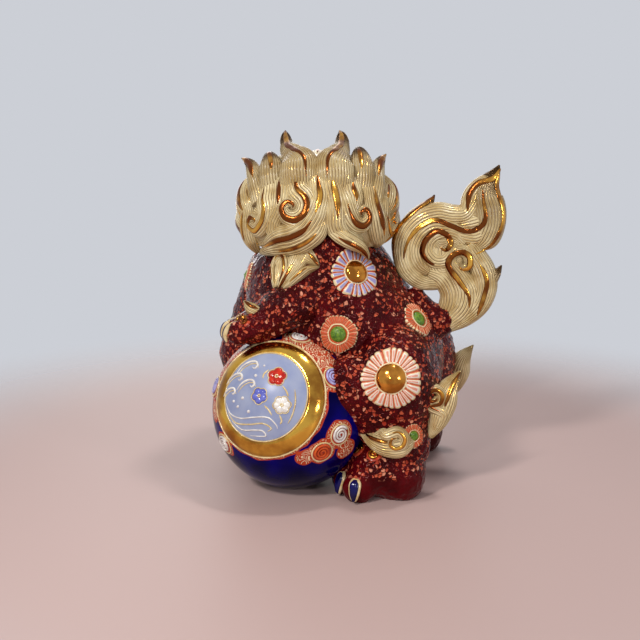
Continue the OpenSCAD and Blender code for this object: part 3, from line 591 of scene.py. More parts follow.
@dataclass(frozen=True)
class PebbleGlaze(Finish):
    """Dark-seamed raised maroon network; some meshes hold orange flecks, the salmon ones partly painted
    sheen.
    """

    ground: Colour = tone(86, 4, 11)
    deep: Colour = tone(52, 1, 5)
    fleck: Colour = tone(206, 98, 66)
    ember: Colour = tone(146, 36, 24)
    pale_fleck_and_sheen: Colour = tone(218, 142, 112)
    seam: Colour = tone(30, 0, 3)
    lining: Colour = tone(176, 40, 34)
    cell: float = 2.7
    share: float = 0.34
    warp: float = 0.0024
    warp_scale: float = 330.0

    def mix(self, shade: Shade) -> None:
        """Cells of a warped Voronoi pattern, some filled with flecks, with the mesh between them raised.

        Args:
            shade: The material's node tree.
        """
        warp = shade.add("TexNoise", Vector=shade.place, Scale=self.warp_scale, Detail=1.0).outputs["Color"]
        moved = {0: warp, 1: (self.warp,) * 3, 2: shade.place}
        shift = shade.add("VectorMath", {"operation": "MULTIPLY_ADD"}, moved)
        mesh = {"Vector": shift.outputs[0], "Scale": PER_METRE / self.cell, "Randomness": 1.0}
        cells = shade.add("TexVoronoi", **mesh)
        edge = shade.add("TexVoronoi", {"feature": "DISTANCE_TO_EDGE"}, **mesh).outputs["Distance"]
        pick = shade.add("SeparateColor", Color=cells.outputs["Color"])
        chosen = shade.math("LESS_THAN", pick.outputs[0], self.share)
        inside = shade.ramp(edge, 0.05, 0.13)
        plain = shade.math("SUBTRACT", 1.0, shade.mark("plain"))
        flecks = shade.math("MULTIPLY", shade.math("MULTIPLY", chosen, inside), shade.ramp(plain, 0.2, 0.7))
        ground = shade.blend(shade.ramp(shade.noise(26.0, 3.0), 0.35, 0.65), self.deep, self.ground)
        fleck = shade.blend(pick.outputs[1], self.ember, self.fleck)
        # pale salmon flecks: paler flecks of the glaze, and painted sheen
        fleck = shade.blend(shade.ramp(pick.outputs[2], 0.74, 0.86), fleck, self.pale_fleck_and_sheen)
        seam = shade.math("MULTIPLY", shade.ramp(edge, 0.12, 0.0, 0.0, 0.75), plain)
        body = shade.blend(flecks, shade.blend(seam, ground, self.seam), fleck)
        shade.dress(Base_Color=shade.blend(shade.ramp(shade.mark("lining"), 0.3, 0.7), body, self.lining))
        pits = shade.math("MULTIPLY", shade.ramp(edge, 0.0, 0.4), plain)
        deep = shade.math("MULTIPLY", pits, -0.5)
        shade.bump(shade.math("MULTIPLY_ADD", shade.noise(4.6, 0.6), 1.5, deep), 0.9)
        shade.dress(Roughness=shade.math("MULTIPLY_ADD", flecks, 0.06, 0.07), Specular_IOR_Level=0.2)
        shade.dress(Specular_Tint=(1.0, 0.42, 0.38, 1.0))


@dataclass(frozen=True)
class HairGlaze(Finish):
    """Cream glaze combed with fine raised gold lines that follow each lock."""

    cream: Colour = tone(226, 206, 158)
    shadow: Colour = tone(188, 160, 108)
    thread: Colour = tone(206, 156, 68)
    groove_line_and_shade: Colour = tone(112, 76, 34)
    tip: Colour = tone(88, 62, 32)
    lock_shade_and_tip: Colour = tone(116, 88, 48)

    def mix(self, shade: Shade) -> None:
        """Fine grooves at U's half numbers, brown line and painted shade in them; worn gilt crests; painted
        shade on free locks.

        Args:
            shade: The material's node tree.
        """
        u, _ = shade.split_uv()
        drift = shade.math("MULTIPLY_ADD", shade.noise(16.0, 1.0), 0.3, u)
        off = shade.math("ABSOLUTE", shade.math("SUBTRACT", shade.math("FRACT", drift), 0.5))
        # grooves: brown drawn line and painted shade in the recesses
        groove = shade.math(
            "MULTIPLY", shade.ramp(off, 0.22, 0.05), shade.ramp(shade.noise(12.0, 2.0), 0.3, 0.62, 0.4, 0.95))
        crest = shade.math(
            "MULTIPLY", shade.ramp(off, 0.36, 0.45), shade.ramp(shade.noise(9.0, 2.0), 0.42, 0.58))
        tip = shade.ramp(
            shade.math("MULTIPLY_ADD", shade.noise(3.0, 2.0), 0.4, shade.mark("tip")), 0.45, 0.95)
        pale = shade.blend(shade.ramp(shade.noise(19.0, 3.0), 0.3, 0.6), self.shadow, self.cream)
        gilded = shade.blend(shade.math("MULTIPLY", crest, 0.8), pale, self.thread)
        combed = shade.blend(groove, gilded, self.groove_line_and_shade)
        # painted shade over free locks, from none at the root to full by their middle
        free = shade.ramp(shade.mark("tip"), 0.0, 0.12, 0.0, 0.45)
        shade.dress(Base_Color=shade.blend(tip, shade.blend(free, combed, self.lock_shade_and_tip), self.tip))
        shade.dress(Metallic=shade.math("MULTIPLY", shade.math("MAXIMUM", crest, tip), 0.7))
        shade.dress(Roughness=shade.math("MULTIPLY_ADD", crest, -0.06, 0.24), Specular_IOR_Level=0.3)
        shade.bump(shade.ramp(off, 0.05, 0.42), 0.3)


@dataclass(frozen=True)
class Lustre(Finish):
    """Gold fired over the glaze, bright where thick, and copper where rubbed and as painted dark reflection.
    """

    bright: Colour = tone(236, 176, 76)
    copper_and_dark_reflection: Colour = tone(124, 66, 28)
    rubbed_and_dark_reflection: float = 0.8
    roughness: float = 0.2
    patch: float = 13.0

    def mix(self, shade: Shade) -> None:
        """A metal whose colour and polish drift in soft brush marks, partly painted dark reflection.

        Args:
            shade: The material's node tree.
        """
        # copper patches: rubbed gold and painted dark reflection
        worn = shade.ramp(shade.noise(self.patch, 4.0), 0.38, 0.62, 0.0, self.rubbed_and_dark_reflection)
        shade.dress(Base_Color=shade.blend(worn, self.bright, self.copper_and_dark_reflection), Metallic=1.0)
        shade.dress(Roughness=shade.math("MULTIPLY_ADD", shade.noise(2.4, 3.0), 0.14, self.roughness - 0.07))
        shade.bump(shade.noise(3.0, 2.0), 0.10)


@dataclass(frozen=True)
class BrushGold(Lustre):
    """Gold brushed along a lock: U runs round the stroke, whose crest lies at a quarter."""

    def mix(self, shade: Shade) -> None:
        """Bright on the crest; copper at the rims as painted reflection, and in long stretches of wear and
        reflection.

        Args:
            shade: The material's node tree.
        """
        u, _ = shade.split_uv()
        # painted dark reflection: copper at the rims of the stroke
        rim = shade.ramp(shade.math("ABSOLUTE", shade.math("SUBTRACT", u, 0.25)), 0.06, 0.20)
        # long copper stretches: wear of the gold and painted dark reflection
        worn = shade.ramp(shade.noise(self.patch, 3.0), 0.35, 0.54, 0.0, self.rubbed_and_dark_reflection)
        shade.dress(
            Base_Color=shade.blend(shade.math("MAXIMUM", rim, worn), self.bright, self.copper_and_dark_reflection), Metallic=1.0)
        shade.dress(Roughness=self.roughness)
        shade.bump(shade.noise(3.0, 2.0), 0.12)


@dataclass(frozen=True)
class Enamel(Finish):
    """A plain glossy enamel with a little pooling and mottle."""

    colour: Colour = (0.8, 0.8, 0.8, 1.0)
    pooled: Colour = (0.5, 0.5, 0.5, 1.0)
    size: float = 6.0
    depth: float = 0.08
    roughness: float = 0.14

    def mix(self, shade: Shade) -> None:
        """Two tones in soft noise under a clear coat.

        Args:
            shade: The material's node tree.
        """
        share = shade.ramp(shade.noise(self.size, 4.0), 0.35, 0.68)
        shade.dress(
            Base_Color=shade.blend(share, self.colour, self.pooled), Roughness=self.roughness,
            Specular_IOR_Level=0.28)
        shade.bump(shade.noise(self.size * 0.5, 3.0), self.depth)


@dataclass(frozen=True)
class BallGlaze(Finish):
    """Cobalt glaze with clouds of coral lace drawn over in cream scribbles."""

    cobalt: Colour = tone(8, 2, 104)
    night: Colour = tone(3, 1, 46)
    coral: Colour = tone(204, 82, 44)
    brick: Colour = tone(164, 48, 28)
    cream: Colour = tone(236, 214, 176)

    def mix(self, shade: Shade) -> None:
        """The mark named lace says how far inside a cloud a point lies; scribbles are level lines of noise.

        Args:
            shade: The material's node tree.
        """
        lace = shade.mark("lace")
        ground = shade.blend(shade.ramp(shade.noise(40.0, 2.0), 0.35, 0.65), self.night, self.cobalt)
        level = shade.math("FRACT", shade.math("MULTIPLY", shade.noise(6.4, 1.0), 9.0))
        scribble = shade.ramp(shade.math("ABSOLUTE", shade.math("SUBTRACT", level, 0.5)), 0.20, 0.10)
        inside = shade.ramp(lace, 0.9, 1.5)
        drawn = shade.math("MULTIPLY", scribble, inside)
        coral = shade.blend(shade.noise(7.0, 3.0), self.brick, self.coral)
        edge = shade.ramp(lace, -0.15, 0.15)
        shade.dress(Base_Color=shade.blend(edge, ground, shade.blend(drawn, coral, self.cream)))
        shade.dress(Roughness=shade.math("MULTIPLY_ADD", edge, 0.16, 0.05), Specular_IOR_Level=0.1)
        shade.dress(Specular_Tint=(0.35, 0.3, 1.0, 1.0))
        shade.bump(
            shade.math("MULTIPLY_ADD", drawn, 0.8, shade.math("MULTIPLY", shade.noise(30.0), 0.5)), 0.25)


@dataclass(frozen=True)
class PetalGlaze(Finish):
    """Raised petals with drawn outlines round a boss.

    U counts petals and V runs from the boss to the rim.
    """

    heart: Colour = tone(150, 146, 205)
    flesh: Colour = tone(232, 226, 226)
    outline: Colour = tone(238, 216, 170)
    gap: Colour = tone(198, 74, 40)
    eye: Colour = tone(214, 92, 40)
    fill: float = 0.26

    def mix(self, shade: Shade) -> None:
        """Share across each petal picks heart, flesh, outline or gap; a ring of outline stands at the boss.

        Args:
            shade: The material's node tree.
        """
        u, v = shade.split_uv()
        share = shade.math(
            "MULTIPLY", shade.math("ABSOLUTE", shade.math("SUBTRACT", shade.math("FRACT", u), 0.5)), 2.0)
        wobble = shade.math("MULTIPLY_ADD", shade.noise(3.0, 3.0), 0.30, -0.15)
        across = shade.math("ADD", share, wobble)
        tip = shade.ramp(v, 0.84, 0.97, 0.0, 0.62)
        root = shade.ramp(v, 0.62, 0.50, 0.0, 0.40)
        d = shade.math("ADD", shade.math("MAXIMUM", across, tip), root)
        flesh = shade.blend(shade.ramp(d, self.fill - 0.1, self.fill + 0.1), self.heart, self.flesh)
        drawn = shade.blend(shade.ramp(d, 0.50, 0.58), flesh, self.outline)
        filled = shade.blend(shade.ramp(d, 0.70, 0.77), drawn, self.gap)
        ringed = shade.blend(shade.ramp(v, 0.535, 0.515), filled, self.outline)
        shade.dress(Base_Color=shade.blend(shade.ramp(v, 0.47, 0.45), ringed, self.eye))
        shade.dress(Roughness=0.16, Specular_IOR_Level=0.35)
        shade.bump(shade.ramp(d, 0.8, 0.5), 0.35)


@dataclass(frozen=True)
class EyeGlaze(Finish):
    """White of the eye, gilt iris ring and black pupil by V, the angle from the gaze over 90 degrees."""

    white: Colour = tone(238, 232, 214)
    iris: Colour = tone(206, 150, 60)
    pupil: Colour = tone(14, 10, 12)
    lid: Colour = tone(176, 50, 36)

    def mix(self, shade: Shade) -> None:
        """Rings of colour round the gaze.

        Args:
            shade: The material's node tree.
        """
        _, v = shade.split_uv()
        inner = shade.blend(shade.ramp(v, 0.25, 0.28), self.pupil, self.iris)
        outer = shade.blend(shade.ramp(v, 0.40, 0.43), inner, self.white)
        red = shade.ramp(shade.math("ADD", v, shade.math("MULTIPLY", shade.noise(3.0, 3.0), 0.1)), 0.78, 0.9)
        shade.dress(
            Base_Color=shade.blend(red, outer, self.lid), Roughness=0.08, Coat_Weight=0.8,
            Coat_Roughness=0.03)


MAROON = PebbleGlaze("maroon_pebble_glaze", "maroon_glaze")
HAIR = HairGlaze("combed_cream_glaze", "cream_glaze")
GOLD = BrushGold("brushed_gold", "gold_lustre", patch=30.0, rubbed_and_dark_reflection=1.0)
RING_GOLD = Lustre(
    "ring_gold", "gold_lustre", bright=tone(232, 180, 74), copper_and_dark_reflection=tone(150, 92, 34), rubbed_and_dark_reflection=0.9,
    roughness=0.15, patch=26.0)
BOSS_GOLD = Lustre(
    "boss_gold", "gold_lustre", bright=tone(222, 150, 62), copper_and_dark_reflection=tone(140, 78, 26), rubbed_and_dark_reflection=0.7,
    roughness=0.12)
COBALT = Enamel("cobalt_enamel", "cobalt_glaze", tone(10, 5, 90), tone(5, 3, 50), 9.0)
CREAM = Enamel("cream_enamel", "cream_glaze", tone(232, 210, 162), tone(204, 172, 116), 5.0)
WHITE = Enamel("white_enamel", "white_glaze", tone(236, 230, 222), tone(208, 198, 194), 5.0)
LAVENDER = Enamel("lavender_enamel", "white_glaze", tone(176, 170, 214), tone(144, 138, 194), 5.0)
CORAL = Enamel("coral_enamel", "red_glaze", tone(190, 70, 40), tone(154, 46, 30), 5.0)
ORANGE = Enamel("orange_enamel", "red_glaze", tone(214, 92, 36), tone(186, 66, 30), 5.0)
RED = Enamel("red_enamel", "red_glaze", tone(206, 48, 22), tone(168, 28, 18), 4.0, 0.2)
BLUE = Enamel("blue_enamel", "panel_glaze", tone(112, 118, 200), tone(88, 92, 178), 4.0, 0.2)
GREEN = Enamel("green_enamel", "green_glaze", tone(112, 144, 46), tone(60, 98, 26), 1.8, 0.3)
PANEL = Enamel("periwinkle_enamel", "panel_glaze", tone(156, 163, 188), tone(136, 145, 180), 18.0, 0.05, 0.3)
TONGUE = Enamel("tongue_enamel", "red_glaze", tone(190, 52, 44), tone(156, 34, 32), 5.0, 0.2)


class Bloom(Enum):
    """Ways the petals of a rosette are painted."""

    LAVENDER = PetalGlaze(
        "lavender_petals", "petal_glaze", fill=0.38, heart=tone(156, 150, 200), flesh=tone(226, 218, 222))
    BLUSH = PetalGlaze(
        "blush_petals", "petal_glaze", heart=tone(226, 150, 124), flesh=tone(240, 226, 214),
        gap=tone(206, 100, 66))
    EMBER = PetalGlaze(
        "ember_petals", "petal_glaze", heart=tone(206, 84, 44), flesh=tone(206, 84, 44),
        gap=tone(206, 84, 44))


def skin(name: str, node: str, finishes: Sequence[Finish], patches: Sequence[Patch]) -> None:
    """Joins patches into one mesh that rides on the figure and stands for a CAD node.

    Args:
        name: The piece's name.
        node: CAD node that it replaces.
        finishes: Its materials, in the order that the patches count them.
        patches: Its surfaces.
    """
    base, made = 0, []
    for patch in patches:
        made.append(patch.faces(base))
        base += len(made[-1][0])
    verts, q, quv, t, tuv = (np.concatenate(group) for group in zip(*made))
    co = (verts + SHIFT) * MM
    mesh = bpy.data.meshes.new(name)
    mesh.vertices.add(len(co))
    mesh.vertices.foreach_set("co", co.astype(np.float32).ravel())
    mesh.loops.add(q.size + t.size)
    mesh.loops.foreach_set("vertex_index", np.concatenate([q.ravel(), t.ravel()]).astype(np.int32))
    mesh.polygons.add(len(q) + len(t))
    starts = np.concatenate([np.arange(len(q)) * 4, q.size + np.arange(len(t)) * 3])
    mesh.polygons.foreach_set("loop_start", starts.astype(np.int32))
    worn = [np.full(len(faces[k]), patch.finish) for k in (1, 3) for faces, patch in zip(made, patches)]
    mesh.polygons.foreach_set("material_index", np.concatenate(worn).astype(np.int32))
    mesh.polygons.foreach_set("use_smooth", np.ones(len(starts), bool))
    layer = mesh.uv_layers.new(name="UVMap")
    flat = np.concatenate([quv.reshape(-1, 2), tuv.reshape(-1, 2)])
    layer.data.foreach_set("uv", flat.astype(np.float32).ravel())
    for key in sorted({key for patch in patches for key in patch.marks}):
        values = np.concatenate([patch.spread(key, len(faces[0])) for faces, patch in zip(made, patches)])
        mesh.attributes.new(key, "FLOAT", "POINT").data.foreach_set("value", values.astype(np.float32))
    mesh.update()
    mesh.validate()
    obj = bpy.data.objects.new(name, mesh)
    bpy.context.scene.collection.objects.link(obj)
    for finish in finishes:
        mesh.materials.append(finish.material())
    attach(obj, "root")
    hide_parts(node)
    LOG.info("%s: %d faces for %s", name, len(starts), node)


def head_skin(name: str, node: str, finishes: Sequence[Finish], patches: Sequence[Patch]) -> None:
    """A piece whose patches are given in the head's own frame."""
    skin(name, node, finishes, [p.turned() for p in patches])


def hind_pair(name: str, node: str, finishes: Sequence[Finish], patches: Sequence[Patch]) -> None:
    """A piece of the left hind leg and its mirror image on the right one, which stands further back."""
    skin("left_" + name, "left_" + node, finishes, patches)
    skin("right_" + name, "right_" + node, finishes, [p.other_side(RIGHT_LEG_BACK) for p in patches])


@dataclass
class Lock:
    """A lock of hair: a rounded ribbon along stations of x, y, z, half width and half height.

    Attributes:
        stations: The ribbon's run.
        facing: Outward direction, or the mass that the lock is laid on.
        pitch: Distance between combed lines.
        steps: Parts of each span.
        free: Whether the lock ends in a free, dark tip, with painted shade along it.
    """

    stations: Stations
    facing: Mass | Sequence[float]
    pitch: float = 1.85
    steps: int = 9
    free: bool = False

    def __post_init__(self) -> None:
        """Works out the run, its widths and its frame of three directions."""
        run = smooth_run(self.stations, count(self.steps))
        self.w, self.h = np.maximum(run[:, 3], 0.15), np.maximum(run[:, 4], 0.15)
        self.laid = isinstance(self.facing, Mass)
        self.c = self.facing.project(run[:, :3]) if self.laid else run[:, :3]
        if self.laid:
            out = self.facing.normal(self.c)
        else:
            out = np.broadcast_to(unit(np.array(self.facing, float)), self.c.shape)
        self.t = unit(np.gradient(self.c, axis=0))
        self.b = unit(np.cross(out, self.t))
        self.n = np.cross(self.t, self.b)
        self.along = travel(self.c)

    @classmethod
    def behind(cls, mass: Mass, stations: Stations) -> Lock:
        """A lock laid on the -Y side of a mass, from stations of x, z, half width and half height."""
        return cls([[*mass.behind(x, z), w, h] for x, z, w, h in stations], mass)

    def crest(self, s: Array, rows: slice = slice(None)) -> Array:
        """Height of the ribbon at shares across it: h times (1 - |s|^2.4) to the power 0.5."""
        return self.h[rows, None] * np.sqrt(np.maximum(1 - np.abs(s) ** 2.4, 0))

    def place(self, s: Array, height: Array, rows: slice = slice(None)) -> Array:
        """Points at shares across the ribbon and heights above its middle.

        Args:
            s: Rows by columns, from -1 to 1.
            height: Rows by columns.
            rows: Part of the run.

        Returns:
            Rows by columns by 3.
        """
        q = self.c[rows, None] + self.b[rows, None] * (self.w[rows, None] * s)[..., None]
        if self.laid:
            q = self.facing.project(q)
            return q + self.facing.normal(q) * height[..., None]
        return q + self.n[rows, None] * height[..., None]

    def patch(self, finish: int = 0) -> Patch:
        """The ribbon: an oval section, combed in shallow flutes, carried along the run.

        Args:
            finish: Number of its finish.

        Returns:
            A closed patch.
        """
        strands = max(3, int(round(2.2 * self.w.max() / self.pitch)))
        sides = int(min(8 * strands, 120) * DETAIL) // 2 * 2
        a = circle(sides)
        u = strands * np.where(a <= np.pi, a / np.pi, 2 - a / np.pi)
        s, lean = np.cos(a)[None, :-1], np.sin(a)[None, :-1]
        rise = self.crest(s)
        flute = 0.24 * np.cos(2 * np.pi * u[None, :-1]) * np.clip(self.w / 5, 0, 1)[:, None] * np.abs(lean)
        under = 1.5 * np.abs(lean) if self.laid else rise + flute
        height = np.where(lean >= 0, rise + flute, -under)
        points = self.place(np.broadcast_to(s, height.shape), height)
        share = self.along / self.along[-1]
        # painted shade along free locks, then their dark tips past the middle
        lock_shade_and_tip = 0.12 * np.clip(share / 0.45, 0, 1) + 0.88 * np.clip(share * 2.0 - 1.0, 0, 1)
        tip = self.free * lock_shade_and_tip[:, None] * np.ones(sides)
        return closed(points, u, self.along / 10, finish, {"tip": tip})

    def stroke(self, start: float, end: float, half: float, side: float = 0.0, drift: float = 0.0) -> Patch:
        """A brush stroke that lies along the ribbon, tapered at both ends.

        Args:
            start: Share of the run where it begins.
            end: Share where it ends.
            half: Half width at its middle.
            side: Share across the ribbon where its middle begins.
            drift: Share that its middle moves across on the way.

        Returns:
            A closed patch.
        """
        m = len(self.c) - 1
        rows = slice(int(start * m), int(end * m) + 1)
        share = np.linspace(0, 1, len(self.w[rows]))
        taper = np.clip(np.minimum(share / 0.3, (1 - share) / 0.3), 0, 1) ** 0.7
        a = circle(STROKE_SIDES)
        reach = np.minimum((half * taper + 0.12) / self.w[rows], 0.8)
        s = (side + drift * share)[:, None] + reach[:, None] * np.cos(a)[None, :-1]
        arch = np.where(np.sin(a) >= 0, STROKE_LIFT, 0.6)[None, :-1] * np.sin(a)[None, :-1]
        rise = arch * np.maximum(taper, 0.1)[:, None]
        points = self.place(s, self.crest(s, rows) + rise, rows)
        return closed(points, a / (2 * np.pi), self.along[rows] / 10, 1)

    def gilded(self, start: float, end: float, half: float, side: float = 0.0) -> list[Patch]:
        """The ribbon and one gold stroke along it."""
        return [self.patch(), self.stroke(start, end, half, side)]


def curl(
    x: float, z: float, radius: float, start: float, turn: float, width: float, height: float, n: int = 7
) -> list[list[float]]:
    """Stations of x, z, half width and half height that wind inwards round a point.

    Args:
        x: Centre.
        z: Centre.
        radius: Radius at the start.
        start: Angle of the start in degrees.
        turn: Angle wound through.
        width: Half width at the start.
        height: Half height.
        n: Stations.

    Returns:
        One list for each station.
    """
    k = np.arange(n) / (n - 1)
    a = np.radians(start + turn * k)
    r = radius * (1 - 0.72 * k)
    return np.stack(
        [x + r * np.cos(a), z + r * np.sin(a), width * (1 - 0.5 * k), np.full(n, height)], -1).tolist()


def tube(
    points: Array, half: Array | float, out: Array, lift: float, finish: int = 0, sides: int = 12
) -> Patch:
    """A drawn line of raised enamel: an oval section carried along points that lie on a surface.

    Args:
        points: The run.
        half: Half width at each point.
        out: Outward direction at each point.
        lift: Height over the surface.
        finish: Number of its finish.
        sides: Points of the section.

    Returns:
        A closed patch.
    """
    t = unit(np.gradient(points, axis=0))
    b = unit(np.cross(out, t))
    n = np.cross(t, b)
    a = circle(sides)
    w = np.broadcast_to(half, points.shape[:1])
    rise = np.where(np.sin(a) >= 0, lift, 0.5)[:-1] * np.sin(a)[:-1]
    scale = np.minimum(w / max(float(np.max(w)), 1e-6) + 0.15, 1.0)
    aside = b[:, None] * (w[:, None] * np.cos(a)[None, :-1])[..., None]
    over = n[:, None] * (scale[:, None] * rise[None])[..., None]
    return closed(points[:, None] + aside + over, a / (2 * np.pi), travel(points) / 10, finish)


def tapered(n: int, half: float, share: float = 0.3) -> Array:
    """Half widths of a stroke of n points that thins towards both ends."""
    k = np.linspace(0, 1, n)
    return half * (0.12 + 0.88 * np.clip(np.minimum(k, 1 - k) / share, 0, 1) ** 0.7)


@dataclass(frozen=True)
class Clay:
    """The masses of the dog's body and legs, which everything else is laid on."""

    shoulder: Mass = Mass((3, 0, 160), (68, 64, 62))
    flank: Mass = Mass((27, 0, 128), (64, 68, 58))
    rump: Mass = Mass((60, 0, 100), (50, 60, 64))
    belly: Mass = Mass((42, 0, 52), (44, 46, 42))
    haunch: Mass = Mass((70, -46, 92), (40, 42, 50))
    knee: Mass = Mass((36, -68, 93), (20, 23, 26))
    hock: Mass = Mass((77, -58, 44), (24, 21, 24))
    heel: Mass = Mass((78, -60, 17), (20, 22, 22))
    instep: Mass = Mass((60, -60, 22), (26, 27, 24))
    left_arm: tuple[Mass, ...] = (
        Mass((-6, -38, 166), (36, 29, 32)),
        Mass((-16, -57, 156), (26, 20, 17)),
        Mass((-36, -60, 143), (20, 19, 15)),
        Mass((-44, -61, 138), (17, 20, 14)),
    )
    right_arm: tuple[Mass, ...] = (
        Mass((-43, 38, 164), (34, 30, 38)),
        Mass((-76, 44, 92), (29, 25, 30)),
        Mass((-66, 46, 40), (22, 21, 22)),
        Mass((-62, 47, 17), (26, 25, 21)),
    )
    hind_toes: tuple[tuple[float, float], ...] = ((-14, -22), (-24, -8), (-24, 8), (-15, 22))
    left_toes: tuple[tuple[float, float], ...] = ((-10, -15), (-15, -5), (-15, 6), (-9, 16))
    right_toes: tuple[tuple[float, float], ...] = ((-14, -20), (-22, -7), (-22, 7), (-14, 20))
    nape: Mass = Mass((15, -34, 203), (20, 25, 22))
    claw_turns: tuple[float, ...] = (78, 50, 18, -18)
    toe: Triple = (13, 8.5, 13)
    fore_toe: Triple = (10, 6.5, 10)
    toe_height: float = 11
    raised_drop: float = 2

    def body(self) -> Form:
        """Shoulder, flank, rump and belly run together."""
        spine = Link(self.shoulder.shrunk(5), self.rump.shrunk(5))
        return Form((self.shoulder, spine, self.flank, self.rump, self.belly, self.nape), 9.0)

    def thigh(self) -> Form:
        """Left haunch and knee drawn down into the hock."""
        links = Link(self.haunch.shrunk(14), self.hock), Link(self.knee.shrunk(4), self.hock)
        return Form((self.haunch, links[0], self.knee, links[1]), 8.0)

    def toes(self, at: Mass, spots: Stations, size: Triple, z: float) -> tuple[Mass, ...]:
        """Toe ovoids fanned round a foot at offsets along and across, with centres at height z."""
        return tuple(Mass((at.at[0] + x, at.at[1] + y, z), size) for x, y in spots)

    def hind_foot_toes(self) -> tuple[Mass, ...]:
        """Toes of the left hind foot."""
        return self.toes(self.instep, self.hind_toes, self.toe, self.toe_height)

    def raised_toes(self) -> tuple[Mass, ...]:
        """Toes of the paw on the ball."""
        paw = self.left_arm[-1]
        return self.toes(paw, self.left_toes, self.fore_toe, paw.at[2] - self.raised_drop)

    def standing_toes(self) -> tuple[Mass, ...]:
        """Toes of the right forefoot."""
        return self.toes(self.right_arm[-1], self.right_toes, self.toe, self.toe_height)

    def foot(self) -> Form:
        """Left hind foot: heel, instep and toes, flat under the sole."""
        links = Link(self.heel, self.instep), Link(self.hock, self.heel)
        return Form((*links, *self.hind_foot_toes()), 6.0, walls=(FLOOR_WALL,))

    def left_leg(self) -> Form:
        """Raised foreleg from the shoulder to the paw on the ball."""
        bones = [Link(a, b) for a, b in zip(self.left_arm, self.left_arm[1:])]
        return Form((*bones, *self.raised_toes()), 4.0)

    def right_leg(self) -> Form:
        """Foreleg that stands on the floor."""
        bones = [Link(a, b) for a, b in zip(self.right_arm, self.right_arm[1:])]
        return Form((*bones, *self.standing_toes()), 4.0, walls=(FLOOR_WALL,))

    def hide(self) -> Form:
        """All of the left side's masses, for laying rosettes on."""
        limbs = Link(*self.left_arm[:2]), Link(self.hock, self.heel)
        return Form((*self.body().masses, *self.thigh().masses, *limbs), 7.0)


@dataclass
class Torso:
    """Body casting, haunches, feet and forelegs in maroon pebbled glaze."""

    clay: Clay
    lump: float = 0.5

    def build(self) -> None:
        """Makes the seven maroon pieces of the body and legs."""
        clay = self.clay
        body = clay.body().shell([(27, 0, 122)], 190, 300, lump=self.lump)
        p = body.points
        body.marks["plain"] = np.clip((-38 - p[..., 0]) / 8, 0, 1) * np.clip((p[..., 2] - 172) / 12, 0, 1)
        skin("body_casting", "body", [MAROON], [body])
        bone = [clay.haunch.at, (76, -54, 62), clay.hock.at]
        thigh = clay.thigh().shell(bone, 150, 190, lump=self.lump, seed=2.0)
        hind_pair("thigh", "haunch", [MAROON], [thigh])
        foot = clay.foot().shell([(64, -60, 16)], 130, 240, lump=self.lump * 0.6, seed=3.0)
        foot.marks["plain"] = np.clip((26 - foot.points[..., 2]) / 9, 0, 1)
        hind_pair("foot", "hind_foot", [MAROON], [foot])
        arm = clay.left_leg().shell([m.at for m in clay.left_arm], 150, 180, lump=self.lump, seed=4.0)
        skin("raised_foreleg", "left_foreleg", [MAROON], [arm])
        bone = [(-46, 38, 160), (-64, 42, 120), *[m.at for m in clay.right_arm[1:]]]
        leg = clay.right_leg().shell(bone, 170, 200, lump=self.lump, seed=5.0)
        leg.marks["plain"] = np.clip((24 - leg.points[..., 2]) / 9, 0, 1)
        skin("standing_foreleg", "right_foreleg", [MAROON], [leg])


@dataclass
class Claws:
    """Cobalt claws with cream rims, and the gold snails on the knuckles."""

    clay: Clay
    root: float = 4.4

    def claw(self, toe: Mass, drop: float, turn: float = 0.0, scale: float = 1.0) -> list[Patch]:
        """One claw: a flattened horn over a toe's front, with a cream rim behind it.

        Args:
            toe: The toe.
            drop: Height of the tip.
            turn: Degrees that the claw is turned out from straight ahead.
            scale: Size against the usual claw.

        Returns:
            The claw and its rim.
        """
        c, n = math.cos(math.radians(turn)), math.sin(math.radians(turn))
        x, y, z = toe.at
        sx, sy, sz = toe.half
        reach = 1 / math.hypot(c / sx, n / sy)
        root = self.root * scale
        bends = (
            (0.5 * reach, 0.7 * sz, 0.5, 1.4),
            (0.9 * reach, 0.46 * sz, 0.95, 2.4),
            (reach + 1.2, -0.02 * sz, 0.86, 2.6),
            (reach + 1.8, -0.42 * sz, 0.5, 2.0),
            (reach + 1.2, drop - z, 0.1, 0.7),
        )
        run = [[x - c * out, y - n * out, z + up, root * wide, high] for out, up, wide, high in bends]
        rim = [[p[0] + c * 0.8, p[1] + n * 0.8, p[2], p[3] + 1.0, p[4]] for p in run]
        rim[0][2] += 1.0
        face = (-c, -n, 0.35)
        return [Lock(run, face, 4.0, 6).patch(0), Lock(rim, face, 4.0, 6).patch(1)]

    def snails(self, mass: Mass, lons: Sequence[float], lat: float) -> list[Patch]:
        """Small coils on coral pads at longitudes round a foot."""
        seats = [Seat.on(Form((mass,)), mass, lon, lat) for lon in lons]
        return [p for seat in seats for p in seat.snail(6.0, 1.25, 1.7, 0, 1)]

    def build(self) -> None:
        """Makes the claws of four feet and the knuckle snails."""
        clay = self.clay
        paw, sole = clay.left_arm[-1], clay.right_arm[-1]
        hind = [p for t, turn in zip(clay.hind_foot_toes(), clay.claw_turns) for p in self.claw(t, 3.0, turn)]
        hind_pair("foot_claws", "hind_claws", [COBALT, CREAM], hind)
        left = [p for t in clay.raised_toes() for p in self.claw(t, t.at[2] - 8, 0.0, 0.72)]
        skin("raised_paw_claws", "left_fore_claws", [COBALT, CREAM], left)
        right = [p for t in clay.standing_toes() for p in self.claw(t, 3.0)]
        skin("standing_paw_claws", "right_fore_claws", [COBALT, CREAM], right)
        coils = self.snails(clay.instep, (-150, -95), 46)
        coils += [p.other_side(RIGHT_LEG_BACK) for p in coils] + self.snails(paw, (-150, -112), 36)
        coils += [p.other_side() for p in self.snails(sole.mirrored(1), (-150, -112), 36)]
        skin("knuckle_coils", "knuckle_snails", [GOLD, CORAL], coils)


